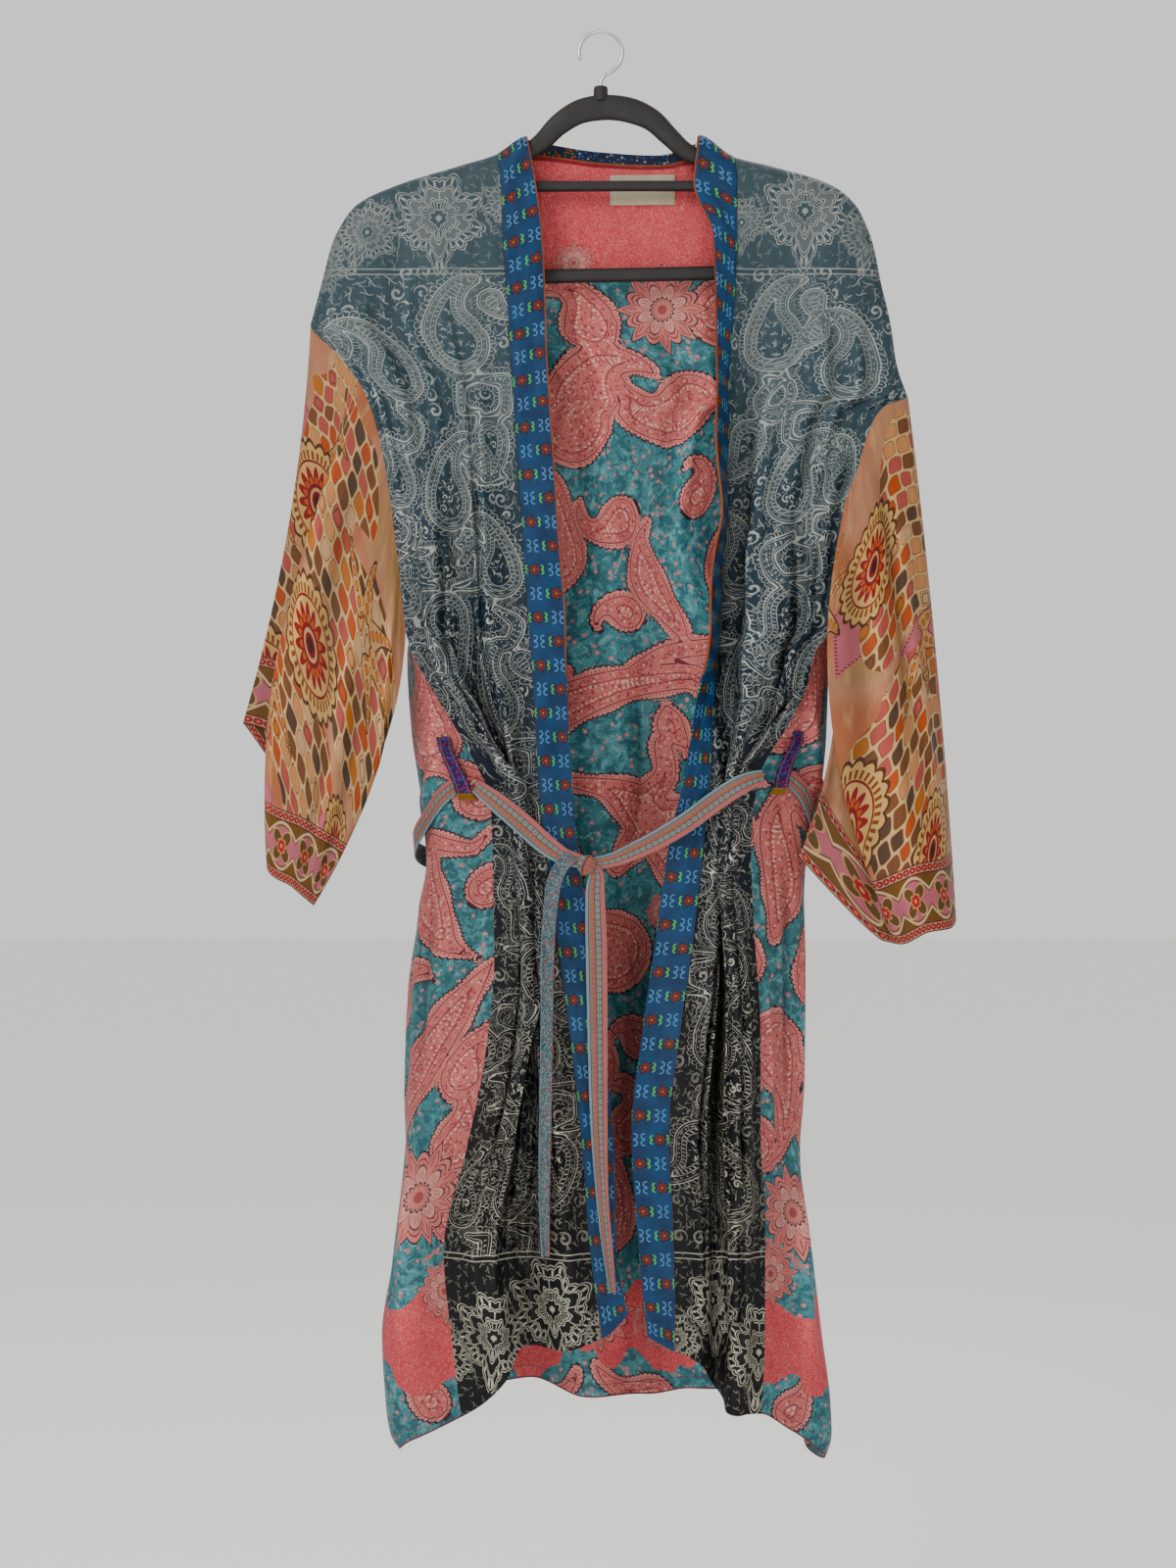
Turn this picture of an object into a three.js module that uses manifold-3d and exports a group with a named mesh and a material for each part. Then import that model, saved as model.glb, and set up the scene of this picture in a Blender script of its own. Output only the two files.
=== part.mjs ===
// A printed silk kimono jacket hung open on a plastic clothes hanger, its own belt tied in front.
// Millimetres. +X to the viewer's right, +Y away from the viewer, +Z up. The origin is the top of the
// inside of the hanger's hook, where it hangs on a rail. Left and right are the viewer's.
import * as THREE from "three";
import Module from "manifold-3d";
import { mergeVertices } from "three/addons/utils/BufferGeometryUtils.js";

const clothWall = 1.4;
const seamGap = 0.3;
const sleeveGap = 0.9; // from the armhole's line to the sleeve's
const tightGap = 2.7; // the same where the seam turns sharply
const ridgeGap = 0.7; // from the shoulder line to each panel's edge
const bandWall = 1.8;
const beltWall = 1.5;
const beltWidth = 18;
const ridgeRound = 13; // radius of the fold over the shoulder
const armLevel = -420; // the panels' rows are level from here down
const hemLevel = -1092; // and from here they run out to the hem
const hangerHalfDepth = 5;

// Cloth coordinate round the body, in nominal millimetres from the centre of the back
const seamAt = 325;
const bandAt = 565;
const freeAt = 597;

const leftSections = table("z freeX freeY bandX bandY seamX seamY", [
  [-88, -64, -10, -91, -10, -251, -10],
  [-133, -56, -12, -86, -12, -251, -10],
  [-180, -50, -18, -84, -18, -251, -12],
  [-252, -47, -25, -79, -26, -251, -12],
  [-285, -46, -28, -77, -28, -223, -15],
  [-315, -44, -30, -75, -30, -203, -20],
  [-360, -41, -32, -72, -32, -189, -26],
  [-450, -35, -34, -66, -34, -175, -29],
  [-520, -30, -35, -61, -36, -167, -29],
  [-535, -30, -35, -60, -37, -163, -29],
  [-562, -29, -36, -58, -38, -149, -30],
  [-600, -28, -37, -56, -40, -126, -35],
  [-632, -26, -38, -54, -42, -108, -40],
  [-664, -24, -38, -52, -42, -94, -40],
  [-735, -16, -39, -43, -42, -92, -38],
  [-800, -6, -41, -35, -43, -91, -36],
  [-885, 4, -43, -24, -46, -99, -36],
  [-960, 11, -46, -16, -48, -114, -38],
  [-1050, 13, -47, -9, -48, -134, -40],
  [-1125, 28, -46, 1, -45, -127, -40],
  [-1245, 42, -45, 12, -45, -112, -40],
]);

const rightSections = table("z freeX freeY bandX bandY seamX seamY", [
  [-88, 85, -10, 112, -10, 266, -10],
  [-133, 80, -13, 117, -14, 266, -10],
  [-180, 96, -23, 117, -20, 266, -12],
  [-250, 98, -27, 113, -22, 266, -12],
  [-316, 98, -30, 109, -18, 266, -12],
  [-325, 98, -30, 109, -17, 245, -14],
  [-344, 98, -31, 109, -14, 232, -18],
  [-382, 100, -35, 108, -9, 220, -26],
  [-416, 102, -36, 109, -7, 208, -30],
  [-450, 97, -36, 105, -6, 204, -31],
  [-500, 92, -36, 103, -6, 200, -30],
  [-518, 92, -36, 102, -8, 198, -30],
  [-535, 91, -36, 100, -10, 185, -30],
  [-574, 83, -37, 97, -20, 174, -32],
  [-597, 79, -38, 95, -27, 162, -36],
  [-648, 70, -40, 93, -36, 134, -40],
  [-708, 57, -42, 87, -42, 128, -38],
  [-780, 47, -42, 79, -44, 131, -36],
  [-864, 35, -42, 67, -44, 136, -36],
  [-949, 26, -42, 58, -44, 136, -36],
  [-1020, 30, -42, 61, -44, 140, -36],
  [-1105, 38, -42, 63, -44, 140, -36],
  [-1245, 56, -42, 58, -44, 134, -38],
]);

// Sides and back: outermost x of each side, depth of the back, and depth of the back's armhole edges
const backSections = table("z leftX rightX backY leftEdgeY rightEdgeY", [
  [-88, -251, 266, 12, 10, 10],
  [-180, -251, 266, 15, 10, 10],
  [-252, -251, 266, 20, 11, 11],
  [-330, -205, 245, 24, 17, 13],
  [-400, -186, 220, 27, 24, 22],
  [-455, -176, 206, 29, 25, 25],
  [-480, -172, 202, 30, 18, 17],
  [-496, -169, 200, 30, 2, 0],
  [-508, -167, 199, 31, -14, -15],
  [-518, -166, 198, 31, -26, -27],
  [-550, -166, 197, 33, -30, -30],
  [-609, -164, 196, 35, -35, -36],
  [-645, -160, 193, 37, -38, -38],
  [-676, -157, 188, 40, -40, -40],
  [-719, -154, 178, 43, -40, -40],
  [-761, -161, 174, 46, -38, -38],
  [-829, -166, 170, 51, -36, -36],
  [-948, -171, 168, 58, -38, -36],
  [-1067, -184, 182, 62, -40, -36],
  [-1130, -194, 190, 64, -40, -36],
  [-1190, -191, 198, 66, -40, -36],
  [-1215, -187, 199, 66, -40, -36],
  [-1245, -160, 189, 66, -40, -36],
]);

// Shoulder line: x against height, with the neck opening bridged level
const shoulder = table("x z", [
  [-251, -252], [-242, -218], [-233, -184], [-225, -167], [-212, -150], [-178, -133], [-124, -116],
  [-89, -105], [-64, -90], [-40, -88], [60, -88], [85, -89], [113, -107], [148, -116], [201, -133],
  [221, -150], [230, -167], [236, -184], [243, -218], [251, -252], [256, -286], [266, -316],
]);

// Hems: cloth coordinate against height
const hem = table("at z", [
  [-597, -1102], [-565, -1123], [-500, -1133], [-440, -1130], [-405, -1148], [-365, -1170],
  [-325, -1191], [-290, -1214], [-262, -1226], [-235, -1222], [-200, -1216], [-160, -1204],
  [-120, -1184], [-70, -1182], [-20, -1196], [40, -1197], [85, -1188], [130, -1192], [165, -1212],
  [200, -1230], [240, -1238], [270, -1228], [300, -1206], [325, -1189], [370, -1187], [410, -1182],
  [450, -1166], [500, -1146], [545, -1137], [565, -1134], [597, -1122],
]);

// Height of the seam between the back and the neck band, and of the band's top edge
const neck = table("x seamZ topZ", [
  [-66, -106, -91], [-45, -107, -94], [0, -112, -100], [50, -114, -103], [88, -108, -92],
]);

// Folds: where each lies (a share of the panel's cloth) and how far it stands out, by height
const foldHeights = [-300, -520, -680, -900, -1180];
const foldColumns = "at1 at2 at3 at4 at5 deep1 deep2 deep3 deep4 deep5 wide";
const leftFrontFolds = table(foldColumns, [
  [0.3, 0.27, 0.26, 0.25, 0.26, 5, 8, 10, 9, 12, 0.12],
  [0.46, 0.44, 0.47, 0.57, 0.57, -6, -9, -13, -10, -12, 0.1],
  [0.72, 0.76, 0.72, 0.86, 0.84, 3, 7, 10, 7, 9, 0.1],
  [0.9, 0.93, 0.9, 0.72, 0.7, -2, -4, -5, -2, 0, 0.06],
]);
const rightFrontFolds = table(foldColumns, [
  [0.46, 0.6, 0.46, 0.22, 0.2, 6, 9, 12, 9, 9, 0.14],
  [0.88, 0.88, 0.74, 0.55, 0.52, -3, -5, -12, -10, -10, 0.1],
  [0.96, 0.96, 0.92, 0.82, 0.8, 0, 0, 5, 7, 8, 0.1],
  [0.22, 0.3, 0.24, 0.08, 0.08, -3, -5, -5, -2, -3, 0.06],
]);
const backFolds = table(foldColumns, [
  [0.05, 0.05, 0.06, 0.065, 0.07, 0, 0, 5, 4, 6, 0.03],
  [0.14, 0.14, 0.14, 0.15, 0.14, 2, 3, -3, -5, -7, 0.035],
  [0.22, 0.23, 0.225, 0.23, 0.22, 4, 6, 8, 8, 11, 0.04],
  [0.31, 0.31, 0.3, 0.31, 0.32, -4, -6, -8, -9, -11, 0.04],
  [0.39, 0.395, 0.38, 0.39, 0.4, 3, 7, 9, 9, 10, 0.04],
  [0.47, 0.48, 0.47, 0.475, 0.48, -3, -6, -8, -7, -12, 0.04],
  [0.55, 0.56, 0.56, 0.56, 0.55, 3, 6, 9, 10, 9, 0.045],
  [0.64, 0.65, 0.65, 0.64, 0.64, -3, -6, -9, -10, -10, 0.04],
  [0.73, 0.74, 0.73, 0.725, 0.73, 4, 7, 8, 9, 12, 0.045],
  [0.83, 0.83, 0.83, 0.82, 0.83, -2, -4, -5, -6, -8, 0.035],
  [0.93, 0.93, 0.92, 0.91, 0.915, 0, 2, 4, 5, 7, 0.035],
]);

// Sleeve: where each line along it starts on the armhole (a share of its length), where it ends on the
// cuff, and how far its middle swings out of the straight
const sleeveColumns = "at x y z bowX bowY bowZ";
const leftSleeve = table(sleeveColumns, [
  [0, -312, 14, -598, 10, 4, 0],
  [0.045, -288, 10, -606, 4, 4, 0],
  [0.09, -279, -4, -640, 6, -4, 0],
  [0.15, -286, -31, -719, -27, -14, 0],
  [0.3, -264, -38, -739, -6, -16, 0],
  [0.5, -246, -30, -755, 18, -8, 0],
  [0.57, -249, -18, -742, 4, -2, 0],
  [0.66, -254, -2, -718, -6, 8, 0],
  [0.82, -272, 16, -660, 0, 14, 0],
]);
const rightSleeve = table(sleeveColumns, [
  [0, 308, 0, -769, 4, 2, 0],
  [0.09, 300, -26, -775, 2, -10, 0],
  [0.19, 280, -36, -778, -4, -16, 0],
  [0.29, 257, -38, -788, -34, -16, 0],
  [0.37, 243, -24, -786, -2, -6, 0],
  [0.5, 169, -30, -713, 14, -10, 0],
  [0.57, 190, -24, -726, 20, -2, 0],
  [0.66, 216, -8, -742, 10, 6, 0],
  [0.82, 270, 14, -770, 4, 14, 0],
]);

// Belt: points on the middle line of each stretch that shows
const beltColumns = "x y z wide";
const beltLeft = table(beltColumns, [
  [-106, -52, -653, 12], [-98, -56, -659, 14], [-84, -57.5, -670, 17], [-63, -57.5, -688, 18],
  [-46, -57.5, -703, 17], [-30, -58, -713, 14], [-19.6, -58, -716, 11],
]);
const beltRight = table(beltColumns, [
  [138, -53, -645, 12], [130, -56, -647, 14], [116, -57.5, -653, 17], [99, -57.5, -664, 17],
  [67, -57, -687, 17], [32, -58, -706, 15], [7, -58, -716, 12], [-3.6, -58, -718, 11],
]);
const tailLong = table(beltColumns, [
  [-4, -59, -728.9, 13], [-5, -59, -742, 16], [-4, -58, -790, 18], [-3, -57, -860, 17],
  [-2, -57, -930, 15], [1, -57, -1000, 11], [6, -57, -1050, 9], [10, -57, -1082, 6],
]);
const tailShort = table(beltColumns, [
  [-31, -59.9, -716, 12], [-40, -60.5, -736, 12], [-45, -61, -790, 11], [-46, -61, -860, 10],
  [-47, -61, -930, 10], [-48, -61, -1000, 9], [-47, -60, -1051, 6],
]);
const beltRound = table("at z out", [
  [-311, -645, 3.4], [-290, -662, 7], [-262, -690, 8], [-235, -706, 7], [-195, -717, 11],
  [-150, -728, 11], [0, -738, 12], [150, -728, 12], [195, -714, 11], [235, -703, 7], [262, -688, 8],
  [290, -656, 7], [311, -639, 3.4],
]);

// Looks values up by column name
function table(columns, rows) {
  const names = columns.split(" ");
  return { rows: rows.map((row) => Object.fromEntries(names.map((name, k) => [name, row[k]]))), names };
}

const column = (t, name) => t.rows.map((row) => row[name]);

// Cubic through knots whose slopes never overshoot them
function pchip(knots, values) {
  const increasing = knots[0] < knots[knots.length - 1];
  const x = increasing ? knots : [...knots].reverse();
  const y = increasing ? values : [...values].reverse();
  const n = x.length;
  const width = x.slice(1).map((v, k) => v - x[k]);
  const rise = width.map((w, k) => (y[k + 1] - y[k]) / w);
  const slope = x.map((_, k) => {
    if (k === 0) return rise[0];
    if (k === n - 1) return rise[n - 2];
    if (rise[k - 1] * rise[k] <= 0) return 0;
    const a = 2 * width[k] + width[k - 1];
    const b = width[k] + 2 * width[k - 1];
    return (a + b) / (a / rise[k - 1] + b / rise[k]);
  });
  return (at) => {
    const clamped = Math.min(Math.max(at, x[0]), x[n - 1]);
    let k = 0;
    while (k < n - 2 && clamped > x[k + 1]) k += 1;
    return hermite((clamped - x[k]) / width[k], width[k], y[k], y[k + 1], slope[k], slope[k + 1]);
  };
}

function hermite(t, width, a, b, slopeA, slopeB) {
  const t2 = t * t;
  const t3 = t2 * t;
  return (2 * t3 - 3 * t2 + 1) * a + (t3 - 2 * t2 + t) * width * slopeA
    + (3 * t2 - 2 * t3) * b + (t3 - t2) * width * slopeB;
}

const byHeight = (t) => Object.fromEntries(
  t.names.slice(1).map((name) => [name, pchip(column(t, t.names[0]), column(t, name))]));

const leftAt = byHeight(leftSections);
const rightAt = byHeight(rightSections);
const backAt = byHeight(backSections);
const neckAt = byHeight(neck);
const shoulderZ = pchip(column(shoulder, "x"), column(shoulder, "z"));
const hemZ = pchip(column(hem, "at"), column(hem, "z"));

const mix = (a, b, t) => a + (b - a) * t;
const smooth = (a, b, v) => {
  const t = Math.min(Math.max((v - a) / (b - a), 0), 1);
  return t * t * (3 - 2 * t);
};
const mixPoint = (a, b, t) => [mix(a[0], b[0], t), mix(a[1], b[1], t)];

// How far below the armpit a height is, from 0 (open armhole) to 1 (front and back joined)
const joined = (z) => smooth(-520, -575, z);
const wrapped = (z) => smooth(-440, -540, z);

// Control points of the section at height z: [cloth coordinate, x, y], from the left band's free edge
// round the back to the right band's
function sectionKnots(z) {
  const wrap = wrapped(z);
  const centre = [mix(leftAt.seamX(z) + rightAt.seamX(z), backAt.leftX(z) + backAt.rightX(z), wrap) / 2,
    backAt.backY(z) + 3];
  const half = (at, sideX, edgeY) => {
    const seam = [at.seamX(z), at.seamY(z)];
    const band = [at.bandX(z), at.bandY(z)];
    const edge = [at.seamX(z), mix(edgeY, at.seamY(z), smooth(-510, -524, z))];
    const side = [sideX, mix(edge[1], 8, wrap)];
    const corner = [sideX * 0.93, backAt.backY(z) * 0.82];
    const quarter = [mix(sideX, centre[0], 0.52), backAt.backY(z)];
    const level = (share) => mixPoint(edge, [centre[0], backAt.backY(z)], share);
    const lowered = (share, point) => {
      const flat = level(share);
      return mixPoint([flat[0], mix(edge[1], backAt.backY(z), Math.min(1, share * 2.2))], point, wrap);
    };
    return {
      front: [
        [freeAt, at.freeX(z), at.freeY(z)],
        [bandAt, ...band],
        [(bandAt + seamAt) / 2, mix(band[0], seam[0], 0.5), mix(band[1], seam[1], 0.5) - 3],
        [seamAt, ...seam],
      ],
      back: [
        [seamAt, ...edge],
        [288, ...lowered(0.11, [mix(edge[0], side[0], 0.62), mix(edge[1], side[1], 0.42)])],
        [245, ...lowered(0.25, side)],
        [195, ...lowered(0.4, corner)],
        [100, ...lowered(0.7, quarter)],
      ],
    };
  };
  return {
    centre: [0, ...centre],
    left: half(leftAt, backAt.leftX(z), backAt.leftEdgeY(z)),
    right: half(rightAt, backAt.rightX(z), backAt.rightEdgeY(z)),
    join: joined(z),
  };
}

const secant = (a, b) => [(b[1] - a[1]) / (b[0] - a[0]), (b[2] - a[2]) / (b[0] - a[0])];

// Slope at the middle of three knots, by the parabola through them
function parabolaSlope(a, b, c) {
  const before = b[0] - a[0];
  const after = c[0] - b[0];
  const s1 = secant(a, b);
  const s2 = secant(b, c);
  return [0, 1].map((k) => (s1[k] * after + s2[k] * before) / (before + after));
}

// Point and tangent on the plain section at cloth coordinate at, on the front or the back
function sectionPoint(at, z, onFront) {
  const k = sectionKnots(z);
  const side = at < 0 ? k.left : k.right;
  const sign = at < 0 ? -1 : 1;
  const signed = (list) => list.map(([u, x, y]) => [u * sign, x, y]);
  const front = signed(side.front);
  const back = signed(side.back);
  const [u, x, y] = (at < 0 ? k.right : k.left).back.at(-1);
  const knots = onFront ? front : [...back, k.centre, [-u * sign, x, y]];
  const slopes = knots.map((knot, i) => {
    if (i > 0 && i < knots.length - 1) return parabolaSlope(knots[i - 1], knot, knots[i + 1]);
    return i === 0 ? secant(knot, knots[1]) : secant(knots[i - 1], knot);
  });
  const across = parabolaSlope(front[2], front[3], back[1]);
  const seamKnot = onFront ? 3 : 0;
  slopes[seamKnot] = mixPoint(slopes[seamKnot], across, k.join);
  let i = 0;
  while (i < knots.length - 2 && Math.abs(at) < Math.abs(knots[i + 1][0])) i += 1;
  const [a, b] = [knots[i], knots[i + 1]];
  const width = b[0] - a[0];
  const value = (t, axis) =>
    hermite(t, width, a[axis + 1], b[axis + 1], slopes[i][axis], slopes[i + 1][axis]);
  const t = (at - a[0]) / width;
  const step = 1e-3;
  const tangent = [0, 1].map((axis) => (value(t + step, axis) - value(t - step, axis)) / (2 * step * width));
  const length = Math.hypot(...tangent);
  return { x: value(t, 0), y: value(t, 1), tx: tangent[0] / length, ty: tangent[1] / length };
}

// Sum of the folds at a share of the cloth and a height: each is a bell across the cloth
function foldDepth(folds, share, z) {
  return folds.reduce((sum, fold) => {
    const off = (share - fold.place(z)) / fold.wide;
    return sum + fold.depth(z) * Math.exp(-off * off);
  }, 0);
}

const foldCurves = (t) => t.rows.map((row) => ({
  wide: row.wide,
  place: pchip(foldHeights, [row.at1, row.at2, row.at3, row.at4, row.at5]),
  depth: pchip([-130, -220, ...foldHeights],
    [0, row.deep1 * 0.5, row.deep1, row.deep2, row.deep3, row.deep4, row.deep5]),
}));
const folds = {
  left: foldCurves(leftFrontFolds),
  right: foldCurves(rightFrontFolds),
  back: foldCurves(backFolds),
};

// Point of the cloth round the body, moved out by its folds and by lift along the section's normal. Folds
// fade at the side seams and the bands. Over the shoulder the cloth rounds off towards the line y = 0.
function bodyPoint(at, z, onFront, lift = 0) {
  const p = sectionPoint(at, z, onFront);
  const share = onFront ? (Math.abs(at) - seamAt) / (bandAt - seamAt) : (at + seamAt) / (2 * seamAt);
  const own = onFront ? (at < 0 ? folds.left : folds.right) : folds.back;
  const distance = onFront ? Math.abs(at) - seamAt : seamAt - Math.abs(at);
  const edgeFade = mix(smooth(0, 30, distance), 1, 0.15 * joined(z));
  const bandFade = onFront ? 1 - smooth(bandAt - 12, bandAt + 8, Math.abs(at)) : 1;
  const out = foldDepth(own, share, z) * edgeFade * bandFade + lift;
  const slopeStep = 1;
  const rise = (shoulderZ(p.x + slopeStep) - shoulderZ(p.x - slopeStep)) / (2 * slopeStep);
  const below = (shoulderZ(p.x) - z) / Math.hypot(1, rise);
  const turn = Math.min(Math.max(below / ridgeRound, 0), 1);
  const round = Math.sqrt(1 - (1 - turn) ** 2);
  const y = (p.y + p.tx * out) * round;
  const apart = onFront ? Math.min(y, -ridgeGap) : Math.max(y, ridgeGap);
  return new THREE.Vector3(p.x - p.ty * out * round, turn < 1 ? apart : y, z);
}

// Height at which a line of the panel leaves the shoulder
function topOf(at, onFront) {
  let z = -120;
  for (let k = 0; k < 8; k += 1) z = shoulderZ(sectionPoint(at, z, onFront).x);
  return z;
}

const topShares = [0, 0.012, 0.04, 0.09, 0.2, 0.4, 0.7, 1];
const levels = [-455, -480, -496, -508, -518, -530, -550, -580, -620, -660, -705, -765, -830, -900, -970,
  -1045, hemLevel];
const hemShares = [0.5, 1];
const armpitRow = topShares.length + 3;

// Heights of one line of a panel from its top to the hem
function lineHeights(top, bottom) {
  return [
    ...topShares.map((s) => mix(top, armLevel, s)),
    ...levels,
    ...hemShares.map((s) => mix(hemLevel, bottom, s)),
  ];
}

const spread = (from, to, steps) => Array.from({ length: steps + 1 }, (_, k) => mix(from, to, k / steps));

// How far a panel's edge is drawn back from the side seam: beside the armhole, where front and back are
// sewn together, and the extra where the cloth creases at the armpit
const drawnBack = {
  front: { open: 1.2, sewn: 0.9, creased: 2.2 },
  back: { open: 1.8, sewn: 0.4, creased: 1 },
};

// Cloth coordinate at, drawn back if it lies on a side seam
function clearOfSeam(at, z, onFront) {
  if (Math.abs(at) !== seamAt) return at;
  const edge = onFront ? drawnBack.front : drawnBack.back;
  const creased = smooth(-490, -520, z) * smooth(-575, -545, z);
  const clear = mix(edge.open, edge.sewn, joined(z)) + edge.creased * creased;
  return Math.sign(at) * (seamAt + (onFront ? clear : -clear));
}

// Grid of points of one strip of the body, columns across the cloth and rows down it
const stripGrid = (columns, onFront) => columns.map((at) =>
  lineHeights(topOf(at, onFront), hemZ(at)).map((z) => bodyPoint(clearOfSeam(at, z, onFront), z, onFront)));

// Closed wall round a grid of points, half its thickness to each side
function wall(grid, thickness, { closed = false, flip = false } = {}) {
  const columns = grid.length;
  const rows = grid[0].length;
  const at = (i, j) => grid[closed ? (i + columns) % columns : Math.min(Math.max(i, 0), columns - 1)][
    Math.min(Math.max(j, 0), rows - 1)];
  const positions = [];
  for (const side of [1, -1]) {
    for (let i = 0; i < columns; i += 1) {
      for (let j = 0; j < rows; j += 1) {
        const across = at(i + 1, j).clone().sub(at(i - 1, j));
        const down = at(i, j + 1).clone().sub(at(i, j - 1));
        const normal = across.cross(down).normalize().multiplyScalar((flip ? -1 : 1) * side * thickness / 2);
        positions.push(...at(i, j).clone().add(normal).toArray());
      }
    }
  }
  const outer = (i, j) => ((i + columns) % columns) * rows + j;
  const inner = (i, j) => columns * rows + outer(i, j);
  const triangles = [];
  const quad = (a, b, c, d) => triangles.push(a, b, c, a, c, d);
  const spans = closed ? columns : columns - 1;
  for (let i = 0; i < spans; i += 1) {
    for (let j = 0; j < rows - 1; j += 1) {
      quad(outer(i, j), outer(i + 1, j), outer(i + 1, j + 1), outer(i, j + 1));
      quad(inner(i, j), inner(i, j + 1), inner(i + 1, j + 1), inner(i + 1, j));
    }
    quad(outer(i + 1, 0), outer(i, 0), inner(i, 0), inner(i + 1, 0));
    quad(outer(i, rows - 1), outer(i + 1, rows - 1), inner(i + 1, rows - 1), inner(i, rows - 1));
  }
  if (!closed) {
    const last = columns - 1;
    for (let j = 0; j < rows - 1; j += 1) {
      quad(outer(0, j), outer(0, j + 1), inner(0, j + 1), inner(0, j));
      quad(outer(last, j + 1), outer(last, j), inner(last, j), inner(last, j + 1));
    }
  }
  if (flip) {
    for (let k = 0; k < triangles.length; k += 3) {
      [triangles[k + 1], triangles[k + 2]] = [triangles[k + 2], triangles[k + 1]];
    }
  }
  const geometry = new THREE.BufferGeometry();
  geometry.setAttribute("position", new THREE.Float32BufferAttribute(positions, 3));
  geometry.setIndex(triangles);
  return geometry;
}

// Closed tube with flat ends through rings of points
function tube(rings) {
  const sides = rings[0].length;
  const positions = rings.flat().flatMap((p) => p.toArray());
  const triangles = [];
  const at = (ring, k) => ring * sides + (k % sides);
  for (let ring = 0; ring < rings.length - 1; ring += 1) {
    for (let k = 0; k < sides; k += 1) {
      triangles.push(at(ring, k), at(ring, k + 1), at(ring + 1, k + 1));
      triangles.push(at(ring, k), at(ring + 1, k + 1), at(ring + 1, k));
    }
  }
  for (let k = 1; k < sides - 1; k += 1) {
    triangles.push(at(0, 0), at(0, k + 1), at(0, k));
    triangles.push(at(rings.length - 1, 0), at(rings.length - 1, k), at(rings.length - 1, k + 1));
  }
  const geometry = new THREE.BufferGeometry();
  geometry.setAttribute("position", new THREE.Float32BufferAttribute(positions, 3));
  geometry.setIndex(triangles);
  return geometry;
}

const wasm = await Module();
wasm.setup();

function toSolid(geometry) {
  const bare = geometry.clone();
  bare.deleteAttribute("normal");
  bare.deleteAttribute("uv");
  const merged = mergeVertices(bare, 1e-4);
  return new wasm.Manifold(new wasm.Mesh({
    numProp: 3,
    vertProperties: merged.attributes.position.array,
    triVerts: new Uint32Array(merged.index.array),
  }));
}

function fromSolid(solid) {
  const mesh = solid.getMesh();
  const geometry = new THREE.BufferGeometry();
  geometry.setAttribute("position", new THREE.Float32BufferAttribute(mesh.vertProperties, 3));
  geometry.setIndex(Array.from(mesh.triVerts));
  return geometry;
}

const frontColumns = 22;
const backColumns = 44;
const bandColumns = 3;
const bandClear = 1.2; // from the band's edge to the panel's
const neckLeft = -92; // the back's neck opening, in cloth coordinates
const neckRight = 98;
const neckSide = 2; // width of the steep side of that opening
const neckLevel = -110;
const halfGap = seamGap / 2;

function frontPanel(sign) {
  const columns = spread(bandAt - bandClear, seamAt, frontColumns).map((at) => at * sign);
  return wall(stripGrid(columns, true), clothWall, { flip: sign > 0 });
}

function frontBand(sign) {
  const columns = spread(bandAt, freeAt, bandColumns).map((at) => at * sign).reverse();
  return wall(stripGrid(columns, true), bandWall, { flip: sign > 0 });
}

// The back's top edge follows the shoulders, and drops to the neck seam between them
function backPanel() {
  const columns = [...spread(-seamAt, seamAt, backColumns), neckLeft, neckLeft + neckSide,
    neckRight - neckSide, neckRight].sort((a, b) => a - b);
  const grid = columns.map((at) => {
    const inNeck = at > neckLeft && at < neckRight;
    const top = inNeck ? neckAt.seamZ(sectionPoint(at, neckLevel, false).x) - halfGap : topOf(at, false);
    return lineHeights(top, hemZ(at)).map((z) => bodyPoint(clearOfSeam(at, z, false), z, false));
  });
  return wall(grid, clothWall);
}

function neckBand() {
  const inset = 4; // from the neck opening's sides
  const columns = spread(neckLeft + inset, neckRight - inset, 14);
  const grid = columns.map((at) => {
    const x = sectionPoint(at, neckLevel, false).x;
    return spread(neckAt.topZ(x), neckAt.seamZ(x) + halfGap, 3).map((z) => bodyPoint(at, z, false));
  });
  return wall(grid, bandWall);
}

// Label sewn flat inside the back, below the neck
function neckLabel() {
  const thick = 0.8;
  const inside = -(clothWall + thick) / 2 - seamGap;
  const heights = spread(-121, -146, 2);
  const grid = spread(2, 73, 3).map((at) => heights.map((z) => bodyPoint(at, z, false, inside)));
  return wall(grid, thick);
}

// Closed ring of points along the armhole, down the front edge and up the back edge
function armhole(sign) {
  const at = sign * seamAt;
  const frontEdge = lineHeights(topOf(at, true), hemZ(at)).slice(0, armpitRow + 2)
    .map((z) => bodyPoint(at, z, true));
  const backEdge = lineHeights(topOf(at, false), hemZ(at)).slice(0, armpitRow + 1)
    .map((z) => bodyPoint(at, z, false));
  return [...frontEdge, ...backEdge.slice(1).reverse()];
}

// Periodic smooth curve through rows of a sleeve table
function aroundSleeve(t, name) {
  const knots = column(t, "at");
  const values = column(t, name);
  const n = knots.length;
  return (at) => {
    const value = (k) => values[(k + n) % n];
    const place = (k) => knots[(k + n) % n] + Math.floor(k / n);
    let k = n - 1;
    while (k > 0 && at < knots[k]) k -= 1;
    const slope = (i) => {
      const before = (value(i) - value(i - 1)) / (place(i) - place(i - 1));
      const after = (value(i + 1) - value(i)) / (place(i + 1) - place(i));
      if (before * after <= 0) return 0;
      return (2 * before * after) / (before + after);
    };
    const width = place(k + 1) - place(k);
    return hermite((at - place(k)) / width, width, value(k), value(k + 1), slope(k), slope(k + 1));
  };
}

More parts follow.
